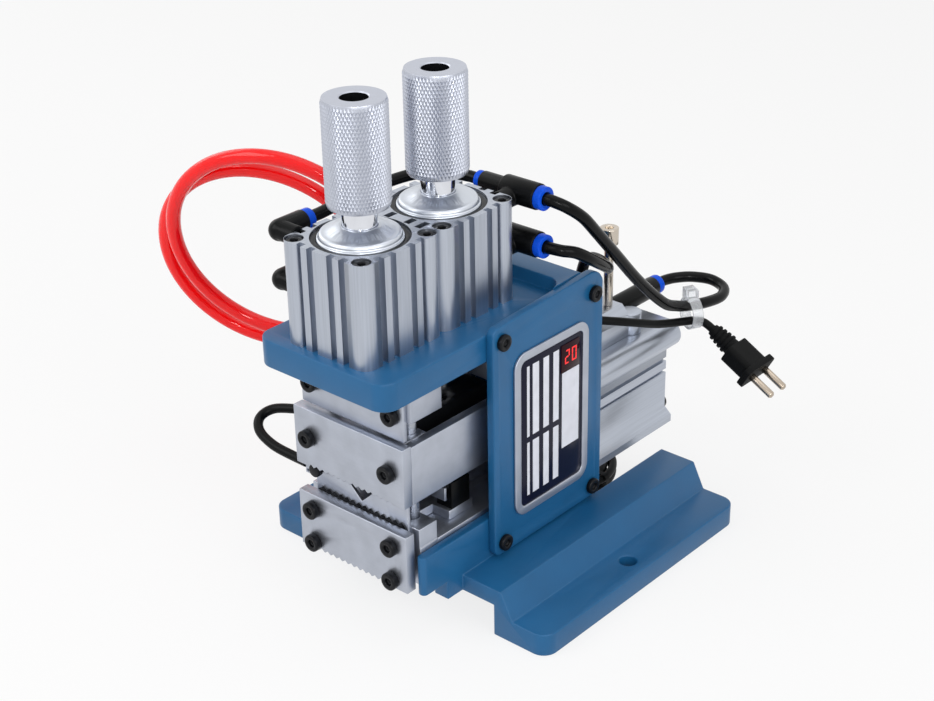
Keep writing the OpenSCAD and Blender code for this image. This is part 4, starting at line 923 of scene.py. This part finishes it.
class STRIPPER_OT_panel(bpy.types.Operator):
    """Bezel, printed film, display window and its digits."""

    bl_idname = "stripper.panel"
    bl_label = "Control panel"

    STRIPES = ((0.10, 0.14), (0.19, 0.29), (0.36, 0.45), (0.52, 0.61))
    STRIPE_ENDS = ((0.06, 0.43), (0.47, 0.95))
    LABEL = ((0.665, 0.245), (0.945, 0.77))
    INK = 0.05 * MM
    INK_CORNER = 0.2 * MM
    SEGMENTS = {"2": "abged", "0": "abcdef"}
    DIGITS = "20"
    DIGIT_WIDE = 3.6 * MM
    DIGIT_TALL = 7.5 * MM
    SEGMENT = 0.8 * MM
    SEGMENT_GAP = 0.12 * MM
    DIGIT_LEFT = 2.6 * MM
    DIGIT_APART = 1.8 * MM
    DIGIT_FOOT = 4.2 * MM

    def execute(self, context):
        finished_copy("control_bezel", "milled", sizes().bezel_edge, 3)
        finished_copy("control_overlay", "film", sizes().blade_edge)
        finished_copy("display_window", "window", sizes().blade_edge)
        low, high = (Vector(c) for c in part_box("control_overlay"))
        face = high.x

        def spot(across, up):
            return low.y + (high.y - low.y) * across, low.z + (high.z - low.z) * up

        blocks = []
        for left, right in self.STRIPES:
            for bottom, top in self.STRIPE_ENDS:
                blocks.append((spot(left, bottom), spot(right, top)))
        blocks.append((spot(*self.LABEL[0]), spot(*self.LABEL[1])))
        printed = blocks_piece("printed_stripes", [
            ((face - self.INK, *low), (face + self.INK, *high)) for low, high in blocks], self.INK_CORNER)
        dress(printed, "print", "frame", SLOT_OF["control_overlay"])
        self.digits()
        return {"FINISHED"}

    def digits(self):
        """Two digits of seven segments, with a gap between neighbours."""
        low, high = (Vector(c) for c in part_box("display_window"))
        face = high.x
        wide, tall, line, gap = self.DIGIT_WIDE, self.DIGIT_TALL, self.SEGMENT, self.SEGMENT_GAP
        upper, lower = (tall / 2 + gap / 2, tall), (0, tall / 2 - gap / 2)
        inner = (line + gap, wide - line - gap)
        spans = {
            "a": (inner, (tall - line, tall)), "d": (inner, (0, line)),
            "g": (inner, ((tall - line) / 2, (tall + line) / 2)),
            "f": ((0, line), upper), "b": ((wide - line, wide), upper),
            "e": ((0, line), lower), "c": ((wide - line, wide), lower)}
        blocks = []
        for place, digit in enumerate(self.DIGITS):
            left = low.y + self.DIGIT_LEFT + place * (wide + self.DIGIT_APART)
            foot = low.z + self.DIGIT_FOOT
            for name in self.SEGMENTS[digit]:
                (y0, y1), (z0, z1) = spans[name]
                blocks.append(((face - self.INK, left + y0, foot + z0),
                               (face + self.INK, left + y1, foot + z1)))
        lit = blocks_piece("display_digits", blocks, self.INK_CORNER)
        dress(lit, "digits", "frame", SLOT_OF["display_window"])


class STRIPPER_PT_pieces(bpy.types.Panel):
    """Buttons for each group of pieces."""

    bl_idname = "STRIPPER_PT_pieces"
    bl_label = "Wire stripper"
    bl_space_type = "VIEW_3D"
    bl_region_type = "UI"
    bl_category = "Wire stripper"

    def draw(self, context):
        for operator in OPERATORS:
            self.layout.operator(operator.bl_idname)
        for group in (context.scene.stripper_colours, context.scene.stripper_sizes):
            for name in group.bl_rna.properties.keys():
                if name not in ("rna_type", "name"):
                    self.layout.prop(group, name)


OPERATORS = (
    STRIPPER_OT_stage, STRIPPER_OT_cords, STRIPPER_OT_castings, STRIPPER_OT_cylinders, STRIPPER_OT_jaws,
    STRIPPER_OT_fasteners, STRIPPER_OT_fittings, STRIPPER_OT_knobs, STRIPPER_OT_panel)
CLASSES = (StripperColours, StripperSizes, *OPERATORS, STRIPPER_PT_pieces)


def register():
    for made in CLASSES:
        bpy.utils.register_class(made)
    bpy.types.Scene.stripper_colours = bpy.props.PointerProperty(type=StripperColours)
    bpy.types.Scene.stripper_sizes = bpy.props.PointerProperty(type=StripperSizes)


def unregister():
    del bpy.types.Scene.stripper_sizes
    del bpy.types.Scene.stripper_colours
    for made in reversed(CLASSES):
        bpy.utils.unregister_class(made)


def main():
    register()
    deselect()
    bpy.ops.stripper.stage()
    bpy.ops.stripper.cords()
    bpy.ops.stripper.castings()
    bpy.ops.stripper.cylinders()
    bpy.ops.stripper.jaws()
    bpy.ops.stripper.fasteners()
    bpy.ops.stripper.fittings()
    bpy.ops.stripper.knobs()
    bpy.ops.stripper.panel()


if __name__ == "__main__":
    main()
